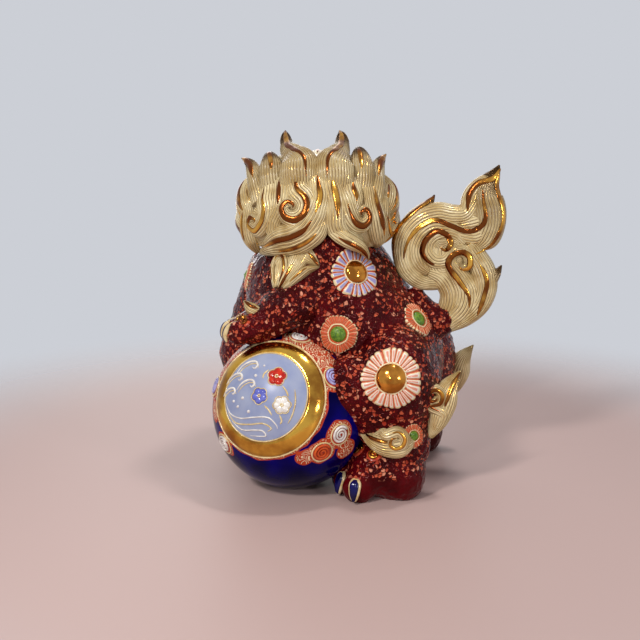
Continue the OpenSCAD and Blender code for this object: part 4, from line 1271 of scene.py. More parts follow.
@dataclass
class Seat:
    """A place on a form's skin where something is laid: a point and three directions."""

    form: Form
    at: Array
    out: Array

    @classmethod
    def on(cls, form: Form, mass: Mass, lon: float, lat: float) -> Seat:
        """The seat at a longitude and latitude of a mass, brought to the form's skin."""
        p = mass.spot(lon, lat)
        return cls(form, form.land(p[None], mass.normal(p)[None])[0], mass.normal(p))

    def laid(self, x: Array, y: Array, height: Array) -> Array:
        """Points over the seat that follow the form's skin.

        Args:
            x: Distance to the right.
            y: Distance up.
            height: Distance out from the skin.

        Returns:
            The points.
        """
        right, up = upright(self.out)
        p = self.at + x[..., None] * right + y[..., None] * up
        return self.form.land(p, np.broadcast_to(self.out, p.shape)) + self.out * height[..., None]

    def dome(self, profile: Stations, cols: int, finish: int = 0) -> Patch:
        """A turned button: a profile of radius and height spun about the seat.

        Args:
            profile: From the middle outwards.
            cols: Points of a ring.
            finish: Number of its finish.

        Returns:
            A closed patch.
        """
        run = smooth_run(profile, 4)
        a = circle(cols)
        x, y = run[:, :1] * np.cos(a)[None, :-1], run[:, :1] * np.sin(a)[None, :-1]
        points = self.laid(x, y, np.broadcast_to(run[:, 1:2], x.shape))
        return closed(points, a / (2 * np.pi), np.linspace(0, 1, len(run)), finish)

    def snail(self, radius: float, coil: float, turns: float, line: int, pad: int) -> list[Patch]:
        """A coil of raised enamel on a low pad.

        Args:
            radius: Radius of the pad.
            coil: Half thickness of the coil.
            turns: Turns of the coil.
            line: Finish of the coil.
            pad: Finish of the pad.

        Returns:
            The coil and the pad.
        """
        k = np.linspace(0, 1, count(70))
        a = 2 * np.pi * turns * k + 0.6
        wind = (radius - coil) * (1 - 0.86 * k)
        run = self.laid(wind * np.cos(a), wind * np.sin(a), np.full(len(k), 0.9))
        drawn = tube(run, coil * (1 - 0.3 * k), np.broadcast_to(self.out, run.shape), coil * 1.1, line, 10)
        r = radius
        pill = [(r * 0.05, 0.75), (r * 0.6, 0.8), (r * 0.95, 0.7), (r, 0.0), (r, -1.2)]
        base = self.dome(pill, 30, pad)
        return [drawn, base]


@dataclass
class BrocadeBall:
    """Cobalt ball with its gold-ringed medallion, coral lace and snail studs."""

    ball: Mass = Mass((-16, -47, 66), (68, 68, 68))
    turn: float = -11.0
    rise: float = 24.0
    ring_inner: float = 31.5
    ring_outer: float = 43.0
    studs: tuple[tuple[float, float, int], ...] = (
        (34, 74, 0), (48, 34, 2), (46, -5, 0), (33, -16, 3), (-46, -17, 0), (-69, 19, 2),
    )
    lace: tuple[Triple, ...] = (
        (34, 74, 15), (30, 62, 13), (42, 55, 14), (46, 44, 13), (49, 34, 13), (46, -5, 13), (33, -16, 12),
        (54, -18, 10), (21, -19, 8), (-46, -17, 11), (-69, 19, 12), (-72, 32, 10), (-59, 4, 9), (-61, 66, 10),
        (-80, 45, 14), (110, 20, 20), (150, -5, 18), (-110, 10, 18), (170, 40, 20))
    lace_edge: float = 46.4
    crests: tuple[Triple, ...] = ((-17, 24, 1.0), (-28, 13, 0.9), (-14, 8, 0.85), (-31, 1, 0.75))
    hook: Stations = ((-11, -7), (-7, -1), (-1, 3), (5, 3.4), (8, 0), (6, -3), (3.4, -1.6))
    spray: tuple[Triple, ...] = (
        (-8, 15, 1.3), (-25, -7, 1.2), (-16, -4, 1.4), (-20, -11, 1.2), (-9, -14, 1.4), (-3, 24, 1.0),
    )
    streams: tuple[Stations, ...] = (
        ((-34, -9), (-28, -17), (-17, -20), (-4, -18), (8, -17), (15, -22), (16, -25)),
        ((-31, -16), (-22, -24), (-8, -24), (4, -22), (11, -25), (8, -28)),
        ((-26, -23), (-15, -29), (-3, -28), (4, -28), (6, -32), (-8, -33)),
        ((24, -20), (27, -12), (28, -2), (26, 8)),
    )
    blossoms: tuple[tuple[float, float, float, int, float, int], ...] = (
        (10, 16, 7.2, 5, 0.3, 3), (-1, -1, 6.2, 5, 0.9, 4), (18, -6, 6.6, 6, 0.2, 1),
    )
    leaves: tuple[Stations, ...] = (
        ((16, 9), (20, 5), (22, 1)), ((4, -8), (8, -11), (11, -15)),
        ((17, -14), (19, -18), (18, -21)), ((2, 21), (-1, 17), (-1, 13)),
    )

    def way(self, turn: float, rise: float) -> Array:
        """Outward direction at a turn from straight left and a rise, in degrees."""
        a, b = math.radians(turn), math.radians(rise)
        return np.array([math.sin(a) * math.cos(b), -math.cos(a) * math.cos(b), math.sin(b)])

    def frame(self) -> tuple[Array, Array, Array]:
        """Right, up and out directions of the medallion."""
        out = self.way(self.turn, self.rise)
        return (*upright(out), out)

    def spread(self, angle: Array, about: Array, over: Array) -> Array:
        """Points at angles from the medallion's middle and about it, at heights over the ball.

        Args:
            angle: Angles from the middle.
            about: Angles about it.
            over: Heights.

        Returns:
            The points.
        """
        right, up, out = self.frame()
        aside = np.cos(about)[..., None] * right + np.sin(about)[..., None] * up
        d = np.sin(angle)[..., None] * aside + np.cos(angle)[..., None] * out
        return np.array(self.ball.at) + d * (self.ball.half[0] + over)[..., None]

    def at(self, x: Array, y: Array, over: Array) -> Array:
        """Points of the panel x to the right and y up along the ball's skin."""
        return self.spread(np.hypot(x, y) / self.ball.half[0], np.arctan2(y, x), over)

    def turned(self, profile: Stations, cols: int, finish: int = 0, capped: bool = False) -> Patch:
        """A ring or cap spun about the medallion.

        Args:
            profile: Angle in degrees and height over the ball.
            cols: Points of a ring.
            finish: Number of its finish.
            capped: Whether the two ends are closed.

        Returns:
            A ring of points for each place of the profile.
        """
        run = np.array(profile, float)
        a = circle(cols)
        angle, about = np.broadcast_arrays(np.radians(run[:, :1]), a[None, :-1])
        points = self.spread(angle, about, np.broadcast_to(run[:, 1:2], angle.shape))
        made = closed(points, a / (2 * np.pi), np.linspace(0, 1, len(run)), finish)
        return made if capped else replace(made, first=None, last=None)

    def globe(self) -> Patch:
        """The ball about the medallion's axis, flat under its foot, marked with the depth inside the lace.

        Returns:
            A closed patch.
        """
        rows, cols = count(170), count(300)
        down = np.pi * (np.arange(rows) + 0.5) / rows
        angle, about = np.meshgrid(down, circle(cols)[:-1], indexing="ij")
        p = self.spread(angle, about, np.zeros(angle.shape))
        d = (p - np.array(self.ball.at)) / self.ball.half[0]
        edge = (np.radians(self.lace_edge) - angle) * self.ball.half[0]
        for turn, rise, radius in self.lace:
            away = np.arccos(np.clip(d @ self.way(turn, rise), -1, 1))
            edge = np.maximum(edge, radius - self.ball.half[0] * away)
        edge = edge + 0.8 * ripple(p, 14.0, 6.0)
        p[..., 2] = np.maximum(p[..., 2], 0.0)
        uv = np.stack(np.meshgrid(np.linspace(0, 1, cols + 1), np.linspace(0, 1, rows)), -1)
        out = self.frame()[2]
        ends = [np.array(self.ball.at) + s * out * self.ball.half[0] for s in (1, -1)]
        ends[1][2] = max(ends[1][2], 0.0)
        return Patch(p, uv, True, ends[0], ends[1], {"lace": edge})

    def line(self, stations: Stations, half: float, lift: float, finish: int) -> Patch:
        """A raised line over the panel through points to the right and up of its middle.

        Args:
            stations: Points right and up.
            half: Half width.
            lift: Height.
            finish: Number of its finish.

        Returns:
            A closed patch.
        """
        run = smooth_run(stations, 12)
        points = self.at(run[:, 0], run[:, 1], np.full(len(run), 0.8))
        out = unit(points - np.array(self.ball.at))
        return tube(points, tapered(len(run), half, 0.25), out, lift, finish, 8)

    def blossom(self, x: float, y: float, size: float, petals: int, turn: float, finish: int) -> list[Patch]:
        """A flat blossom: rounded petals round an eye, with a drawn outline.

        Args:
            x: Place to the right.
            y: Place up.
            size: Radius.
            petals: Number of petals.
            turn: Angle of the first one.
            finish: Number of its finish.

        Returns:
            Flower, outline and eye.
        """
        a = np.linspace(0, 2 * np.pi, 97)
        edge = size * (0.80 + 0.20 * np.abs(np.cos(petals * (a - turn) / 2)) ** 0.8)
        share = np.array([0.04, 0.2, 0.45, 0.7, 0.9, 1.0, 1.0])[:, None]
        fold = np.abs(np.cos(petals * (a - turn) / 2))[None, :-1]
        height = np.array([1.5, 1.55, 1.8, 1.9, 1.6, 1.2, 0.4])[:, None]
        height = height - 0.35 * (1 - fold) * np.minimum(share * 2, 1)
        r = share * edge[None, :-1]
        points = self.at(x + r * np.cos(a)[None, :-1], y + r * np.sin(a)[None, :-1], height)
        flower = closed(points, a / (2 * np.pi), share[:, 0], finish)
        ring = self.at(x + 1.1 * edge * np.cos(a), y + 1.1 * edge * np.sin(a), np.full(97, 0.85))
        outline = tube(ring, 0.42, unit(ring - np.array(self.ball.at)), 0.6, 2, 8)
        eye_x, eye_y = x + 0.16 * size * np.cos(a[::8]), y + 0.16 * size * np.sin(a[::8])
        out = unit(self.at(eye_x, eye_y, np.zeros(len(eye_x))) - np.array(self.ball.at))
        eye = tube(self.at(eye_x, eye_y, np.full(len(eye_x), 1.7)), 0.5, out, 0.5, 2, 8)
        return [flower, outline, eye]

    def drop(self, x: float, y: float, size: float, finish: int) -> Patch:
        """A bead of raised enamel.

        Args:
            x: Place to the right.
            y: Place up.
            size: Radius.
            finish: Number of its finish.

        Returns:
            A closed patch.
        """
        a = circle(16)
        ring = np.radians([8, 30, 55, 80, 95])[:, None]
        r = size * np.sin(ring)
        height = np.broadcast_to(0.7 + size * 0.9 * np.cos(ring), (5, 16))
        points = self.at(x + r * np.cos(a)[None, :-1], y + r * np.sin(a)[None, :-1], height)
        return closed(points, a / (2 * np.pi), np.linspace(0, 1, 5), finish)

    def painting(self) -> list[Patch]:
        """Wave crests, spray, a stream and three blossoms in raised enamel over the panel.

        Returns:
            Every line, bead and blossom.
        """
        made = []
        for x, y, size in self.crests:
            wave = np.array(self.hook) * size + (x, y)
            made.append(self.line(wave, 0.95, 0.9, 1))
            made.append(self.line(wave[:5] + (1.6, -2.2), 0.45, 0.5, 2))
        made += [self.drop(x, y, size, 1) for x, y, size in self.spray]
        made += [self.line(s, 0.62, 0.7, 2 if k % 2 else 1) for k, s in enumerate(self.streams)]
        made += [p for flower in self.blossoms for p in self.blossom(*flower)]
        return made + [self.line(leaf, 0.7, 0.5, 2) for leaf in self.leaves]

    def build(self) -> None:
        """Makes the ball, ring, panel and studs."""
        skin("brocade_ball", "ball", [BallGlaze("cobalt_and_lace", "cobalt_glaze")], [self.globe()])
        lo, hi = self.ring_inner, self.ring_outer
        k = np.linspace(0, 1, 17)
        roll = [(lo + (hi - lo) * s, 0.3 + 1.5 * math.sin(math.pi * s) ** 0.45) for s in k]
        band = roll + [(hi, -1.0), (lo, -1.0), roll[0]]
        bead = np.linspace(0, 2 * np.pi, 13)
        edge = [(hi + 0.2 + 0.55 * (1 - math.cos(t)), 0.15 + 0.9 * math.sin(t)) for t in bead]
        inner = [(lo - 0.9 + 0.45 * (1 - math.cos(t)), 0.75 + 0.7 * math.sin(t)) for t in bead]
        rings = [
            self.turned(band, count(220)), self.turned(edge, count(220), 1),
            self.turned(inner, count(220), 1)]
        skin("gilt_ring", "medallion_ring", [RING_GOLD, CREAM], rings)
        cap = [(0.4 + (lo - 0.6) * s, 0.8) for s in np.linspace(0, 1, 24)] + [(lo - 0.2, -1.0)]
        face = self.turned(cap, count(160), capped=True)
        skin("painted_panel", "medallion_panel", [PANEL, WHITE, CREAM, RED, BLUE], [face, *self.painting()])
        made = []
        form = Form((self.ball,))
        for turn, rise, line in self.studs:
            out = self.way(turn, rise)
            seat = Seat(form, np.array(self.ball.at) + out * self.ball.half[0], out)
            pair = seat.snail(8.2, 1.1, 2.6, line, 4)
            a = np.linspace(0, 2 * np.pi, 60)
            ring = seat.laid(8.6 * np.cos(a), 8.6 * np.sin(a), np.full(60, 0.35))
            made += [*pair, tube(ring, 0.65, np.broadcast_to(out, ring.shape), 0.8, 1, 8)]
        skin("snail_studs", "ball_studs", [WHITE, CREAM, LAVENDER, ORANGE, CORAL], made)


@dataclass
class Rosettes:
    """Scalloped flower medals laid on the hide, each with a gold or green boss."""

    clay: Clay
    flank_lat: float = 8.0
    levels: tuple[float, ...] = (
        0.03, 0.2, 0.4, 0.44, 0.46, 0.48, 0.50, 0.52, 0.55, 0.6,
        0.66, 0.72, 0.78, 0.84, 0.89, 0.93, 0.965, 0.985, 1.0, 1.01,
    )
    crown: tuple[tuple[float, float], ...] = (
        (0, 1.4), (0.44, 1.4), (0.46, 2.7), (0.5, 2.8), (0.54, 2.0), (0.62, 2.6),
        (0.8, 2.5), (0.93, 1.8), (0.985, 1.0), (1.0, 0.2), (1.01, -1.8),
    )
    chest: Triple = (13.0, 0.42, 0.12)

    def flower(self, seat: Seat, radius: float, petals: int, finish: int, heart: float, band: float) -> Patch:
        """A disc with a scalloped rim and ridged petals: its height is a dome less a groove between petals.

        Args:
            seat: Where it lies.
            radius: Its radius.
            petals: Number of petals.
            finish: Place in the piece's list of finishes.
            heart: Share of the radius that the boss takes.
            band: Share of the plain band round the boss.

        Returns:
            A closed patch.
        """
        cols = petals * 10
        a = circle(cols)
        seed = float(seat.at.sum())
        phase = petals * a / (2 * np.pi) + 0.30 * np.sin(3 * a + seed) + 0.16 * np.sin(8 * a + 2 * seed)
        uneven = 1 + 0.022 * np.sin(3 * a + seed) + 0.018 * np.sin(7 * a + 1.7 * seed)
        g = 1 - np.abs(2 * (phase % 1.0) - 1)[None, :-1] ** 2.4
        level = np.array(self.levels)[:, None]
        crown = np.interp(level, *zip(*self.crown))
        groove = np.interp(level, [0.52, 0.6, 0.9, 1.0], [0.0, 1.1, 1.2, 0.3]) * (1 - g)
        rho = np.interp(level, [0, 0.52, 1.01], [0, heart + band, 1.01])
        reach = radius * (0.92 + 0.08 * np.sqrt(g) * np.clip((level - 0.6) / 0.3, 0, 1)) * uneven[None, :-1]
        r = rho * reach
        points = seat.laid(r * np.cos(a)[None, :-1], r * np.sin(a)[None, :-1], crown - groove)
        return closed(points, phase, np.minimum(level[:, 0], 1.0), finish)

    def boss(self, seat: Seat, radius: float, heart: float) -> Patch:
        """A domed button with a small nipple at its middle.

        Args:
            seat: Where it lies.
            radius: The rosette's radius.
            heart: The boss's share of it.

        Returns:
            A closed patch.
        """
        r = radius * heart * 0.97
        ring = np.radians(np.linspace(3, 90, 22))
        nipple = [0.5 * math.exp(-((math.sin(t) / 0.12) ** 2)) for t in ring]
        profile = [(r * math.sin(t), 1.5 + 0.46 * r * math.cos(t) + n) for t, n in zip(ring, nipple)]
        return seat.dome([*profile, (r, 0.6)], 48)

    def build(self) -> None:
        """Makes the rosettes of both sides, the chest medal and the bosses."""
        clay = self.clay
        hide = clay.hide()
        spots = [
            (clay.shoulder, -56, 23, 20.5, 22, 0, 0.5, 0.05),
            (clay.flank, -90, self.flank_lat, 15.5, 28, 2, 0.43, 0.18),
            (clay.rump, -40, 42, 15.5, 28, 2, 0.43, 0.16),
            (clay.haunch, -87, 16, 24.0, 26, 1, 0.52, 0.05),
            (clay.hock, -58, 27, 9.5, 20, 2, 0.43, 0.12),
        ]
        seats = [Seat.on(hide, mass, lon, lat) for mass, lon, lat, *_ in spots]
        flowers = [self.flower(seat, *s[3:]) for seat, s in zip(seats, spots)]
        backs = [0.0, 0.0, 0.0, RIGHT_LEG_BACK, RIGHT_LEG_BACK]
        blooms = [bloom.value for bloom in Bloom]
        skin("left_flowers", "left_rosettes", blooms, flowers)
        skin("right_flowers", "right_rosettes", blooms, [f.other_side(b) for f, b in zip(flowers, backs)])
        chest = Seat.on(hide, clay.shoulder, -167, 14)
        radius, heart, band = self.chest
        skin("chest_flower", "chest_medal", blooms, [self.flower(chest, radius, 22, 2, heart, band)])
        domes = [self.boss(seat, s[3], s[6]) for seat, s in zip(seats, spots)]
        far = [dome.other_side(back) for dome, back in zip(domes, backs)]
        gold = [row[k] for row in (domes, far) for k in (0, 3)]
        green = [row[k] for row in (domes, far) for k in (1, 2, 4)] + [self.boss(chest, radius, heart)]
        skin("gilt_bosses", "gold_bosses", [BOSS_GOLD], gold)
        skin("green_buttons", "green_bosses", [GREEN], green)


@dataclass
class Mane:
    """Combed cap of hair with flames at the crown and curls down the nape, in the head's own frame."""

    cap: Mass = Mass((-2, 0, 228), (66, 62, 52))
    hem: float = 205.0
    front: float = 26.0
    notch: Mass = Mass((12, -60, 203), (13, 15, 20))
    up_face: Triple = (0, -1, 0.15)

    def nape(self, stations: Stations) -> Lock:
        """A lock laid on the back of the cap, from stations of x, z, half width and half height."""
        return Lock.behind(self.cap, stations)

    def flame(self, stations: Stations) -> Lock:
        """A lock that stands free, from stations of x, y, z, half width and half height."""
        return Lock(stations, self.up_face, free=True)

    def ruff(self, side: int) -> list[tuple[Lock, list[tuple[float, ...]]]]:
        """Locks that sweep back from the face over one side of the cap, each with its stroke.

        Args:
            side: 1 for +X and -1 for -X.

        Returns:
            Locks and strokes for lay().
        """
        sweep = (
            (33, -7, 5, 3), (21, -3, 10, 5), (4, 3, 11, 6), (-14, 11, 9, 5), (-27, 20, 4, 4),
            (-33, 27, 0.6, 1))
        made = []
        for lat in (58, 38, 18, -1):
            run = []
            for lon, drop, w, h in sweep:
                run.append([*self.cap.spot(lon if side > 0 else 180 - lon, lat - drop), w, h])
            made.append((Lock(run, self.cap), [(0.12, 0.92, 2.0)]))
        return made

    def lay(self, name: str, node: str, locks: Sequence[tuple[Lock, Sequence[tuple[float, ...]]]]) -> None:
        """Makes one piece of some locks and their gold strokes.

        Args:
            name: The piece.
            node: The CAD node that it replaces.
            locks: Each lock with its strokes, as the arguments of Lock.stroke.
        """
        made = []
        for lock, strokes in locks:
            made.append(lock.patch())
            made += [lock.stroke(*s) for s in strokes]
        head_skin(name, node, [HAIR, GOLD], made)

    def build(self) -> None:
        """Makes the cap and every lock on it."""
        bound = (((0, 0, -1), -self.hem + 2.0), ((0, 1, 0), self.front + 1.0))
        cap = Form((self.cap,), cuts=(self.notch,), walls=bound).shell([(-2, -8, 232)], 130, 260)
        ring = np.concatenate([cap.points, cap.points[:, :1]], 1)
        over = np.arctan2(ring[..., 0] - self.cap.at[0], ring[..., 2] - self.hem + 15.0)
        cap.uv = np.stack([over * 38.0, ring[..., 1] / 10], -1)
        head_skin("hair_cap", "mane_cap", [HAIR], [cap])
        self.lay("left_crown", "left_crown_flame", [(self.flame([
            [-16, -47, 248, 15, 4], [-17, -45, 262, 16.5, 9], [-17.5, -38, 272, 16, 9.5],
            [-22.5, -27, 279, 10.8, 6.5], [-26.4, -17, 283, 7.6, 6], [-28, -10, 286.5, 5.9, 5.5],
            [-29, -4, 291, 5.3, 5], [-29.6, 0, 296, 3.4, 3.4], [-29.8, 2, 300, 0.4, 0.5]
        ]), [(0.1, 0.99, 2.4, -0.35, 0.4)])])
        self.lay("right_crown", "right_crown_flame", [(self.flame([
            [11, -47, 248, 15, 4], [11.5, -45, 262, 16.5, 9], [11.5, -38, 272, 16, 9.5],
            [14.8, -27, 279, 11, 6.5], [17.4, -17, 283, 8.2, 6], [18.4, -10, 286.5, 6.8, 5.5],
            [18.8, -4, 291, 6, 5.2], [18.2, 0, 296, 3.8, 3.8], [16.7, 2, 300, 0.4, 0.5]
        ]), [(0.1, 0.99, 2.4, 0.35, -0.4)])])
        self.lay("left_temple", "left_temple_flames", [
            (self.flame([
                [-37, -41, 244, 11, 4], [-39.5, -34, 260, 11.5, 9], [-40.5, -25, 270, 10, 8],
                [-42, -17, 277, 6, 6], [-43, -13, 280.5, 1.2, 1.6]]), [(0.3, 0.85, 2.2)]),
            (self.flame([
                [-46, -37, 240, 11, 8], [-50, -30, 252, 10, 8.5], [-54, -22, 262, 8, 7.5],
                [-58, -14, 270, 5.4, 5.5], [-62.5, -9, 274, 3, 3.6], [-67, -6, 276.5, 0.5, 0.6]
            ]), [(0.3, 0.98, 2.5, 0.3, -0.3)]),
        ])
        self.lay("right_temple", "right_temple_flames", [
            (self.flame([
                [32, -41, 244, 11, 4], [34, -34, 261, 11.5, 9], [34, -25, 272, 10, 8],
                [33, -17, 280, 6.5, 6.5], [31.5, -12, 284.5, 2, 2.4]]), [(0.3, 0.8, 2.2)]),
            (self.flame([
                [41, -37, 241, 11, 8], [44, -31, 253, 10, 8.5], [46.5, -23, 263, 8, 7.5],
                [49.5, -15, 271, 5.6, 5.5], [53, -9, 276, 3.2, 3.6], [56.5, -7, 280, 0.5, 0.6]
            ]), [(0.3, 0.98, 2.5, -0.3, 0.3)]),
        ])
        n = self.nape
        self.lay("left_nape", "left_nape_lock", [
            (n([
                [-15, 265, 8, 2.5], [-18.5, 258, 9, 3.5], [-18, 251, 9.5, 4], [-12, 245, 9.5, 4.5],
                [-10, 239, 9.5, 4.5], [-12.5, 232, 9, 5], [-19, 228, 8.5, 5], [-26.5, 230, 7, 5],
                [-29, 236.5, 5.5, 5], [-25, 241, 4.5, 4.5], [-20.5, 239, 3.5, 4], [-21.5, 235.5, 2, 3.5]
            ]), [(0.02, 0.98, 2.4)]),
            (n([
                [-3, 265, 8, 2.5], [-1, 253, 9, 3.5], [0, 245, 9, 4.5], [-2, 238, 9.5, 5],
                [-5, 230, 10.5, 5.5], [-12, 221, 11, 6], [-22, 215.5, 11, 6], [-34, 212, 9.5, 6],
                [-47, 204, 2, 2]]), [(0.04, 0.46, 2.1), (0.54, 0.99, 2.0)]),
            (n([
                [3, 228, 4, 3], [-2, 219, 8.5, 5.5], [-12, 211, 9.5, 6], [-24, 206, 9.5, 6], [-38, 203, 7, 5],
                [-52, 197, 1, 1.5]]), [(0.2, 0.75, 1.5)]),
            (n([
                [-31, 265, 8, 2.5], [-32, 252, 9, 3.5], [-32, 243, 9, 4], [-34, 234, 8, 4], [-38, 225, 8, 4],
                [-37, 217, 7, 4], [-29, 218, 4, 3.5]]), [(0.1, 0.42, 1.8)]),
        ])
        self.lay("right_nape", "right_nape_lock", [
            (n([
                [9, 265, 8, 2.5], [10, 255, 8.5, 3.5], [12, 246, 9, 4.5], [13, 239, 9, 5], [13, 231, 9, 5.5],
                [13.5, 223, 9, 6], [18.5, 215.5, 8.5, 6], [26, 211.5, 7, 5.5], [33, 208, 4.5, 5],
                [38, 203, 0.8, 1.5]]), [(0.04, 0.48, 2.3)]),
            (Lock([
                [8.8, -58.5, 220.5, 5, 4], [14.4, -61, 215.9, 6, 5], [20.9, -61.5, 211.9, 6.2, 5.5],
                [28.2, -59.5, 208, 5.6, 5.5], [34.1, -57, 204.1, 4.4, 5], [37.9, -54.5, 199.3, 2.8, 3.8],
                [39.7, -52.5, 193.7, 0.5, 0.6]], (0, -1, 0)), [(0.2, 0.96, 1.6, -0.2, 0.1)]),
        ])
        self.lay("left_curls", "left_side_curls", [
            (n([
                [-42, 263, 7, 3], [-43.5, 250, 9, 4.5], [-44, 242, 9.5, 5], [-43, 235, 9.5, 5],
                [-45, 226, 8.5, 5], [-51, 218.5, 7, 5], [-57, 222.5, 5.5, 4.5], [-55.5, 228, 4, 4],
                [-51.5, 226.5, 3, 3.5], [-52.5, 223.5, 1.8, 3]]), [(0.12, 0.98, 2.1)]),
            (n(
                [[-57, 242, 6, 4], [-60, 230, 9, 6], [-60, 218, 10, 7], [-57, 208, 9, 7], [-52, 199, 3, 4]]
            ), [(0.2, 0.7, 1.9)]),
            (n([
                [-50, 264, 6, 4], [-58, 257, 10, 7], [-62, 247, 11, 8], [-61.5, 237, 10, 7], [-57, 229, 3, 3]
            ]), [(0.25, 0.9, 2.6)]),
            *self.ruff(-1),
        ])
        self.lay("right_curls", "right_side_curls", [
            (n([[23, 265, 8, 2.5], [26, 252, 9, 3.5], [28, 244, 8, 4], [27, 235, 4, 3]]), [(0.2, 0.8, 1.9)]),
            (n([
                [17, 252, 6, 2.5], [20.5, 241, 8.5, 4.5], [23, 232, 9, 5], [27.5, 225, 8, 5],
                [33.5, 223, 7, 5], [38, 228, 5.5, 5], [36, 234.5, 4.5, 4.5], [31.5, 233.5, 3.2, 4],
                [32, 230, 1.8, 3.5]]), [(0.15, 0.98, 2.2)]),
            (n([
                [38, 264, 7, 3], [42, 250, 9, 4.5], [43.5, 239, 10, 5.5], [46, 227, 11, 7], [48, 218, 11, 7],
                [49, 210, 8, 6], [47, 203, 2, 2]]), [(0.14, 0.74, 2.1)]),
            (n([
                [52, 244, 6, 4], [52, 232, 8, 5], [53.5, 222, 8, 5], [57, 215, 6.5, 4.5],
                [61.5, 218.5, 4.5, 4], [60, 224.5, 3, 3.5], [57.5, 222, 1.8, 3]]), [(0.2, 0.98, 1.9)]),
            (
                n([[48, 264, 6, 4], [55, 257, 10, 7], [59, 248, 11, 8], [58.5, 239, 10, 7], [54, 230, 3, 3]]),
                [(0.25, 0.9, 2.2)]),
            *self.ruff(1),
        ])
        fronts = []
        for k in range(-2, 3):
            x, dip = -2 + 16 * k, 3.5 * k * k
            run = [[x, 16, 272 - dip, 8, 7], [x, 34, 277 - dip, 9, 7], [x + k, 48, 275 - dip, 7, 6]]
            run.append([x + 2 * k, 58, 279 - dip, 0.5, 0.6])
            fronts.append((Lock(run, (0.1 * k, 0.45, 0.85)), [(0.2, 0.95, 2.0)]))
        self.lay("brow_fringe", "forelock", fronts)


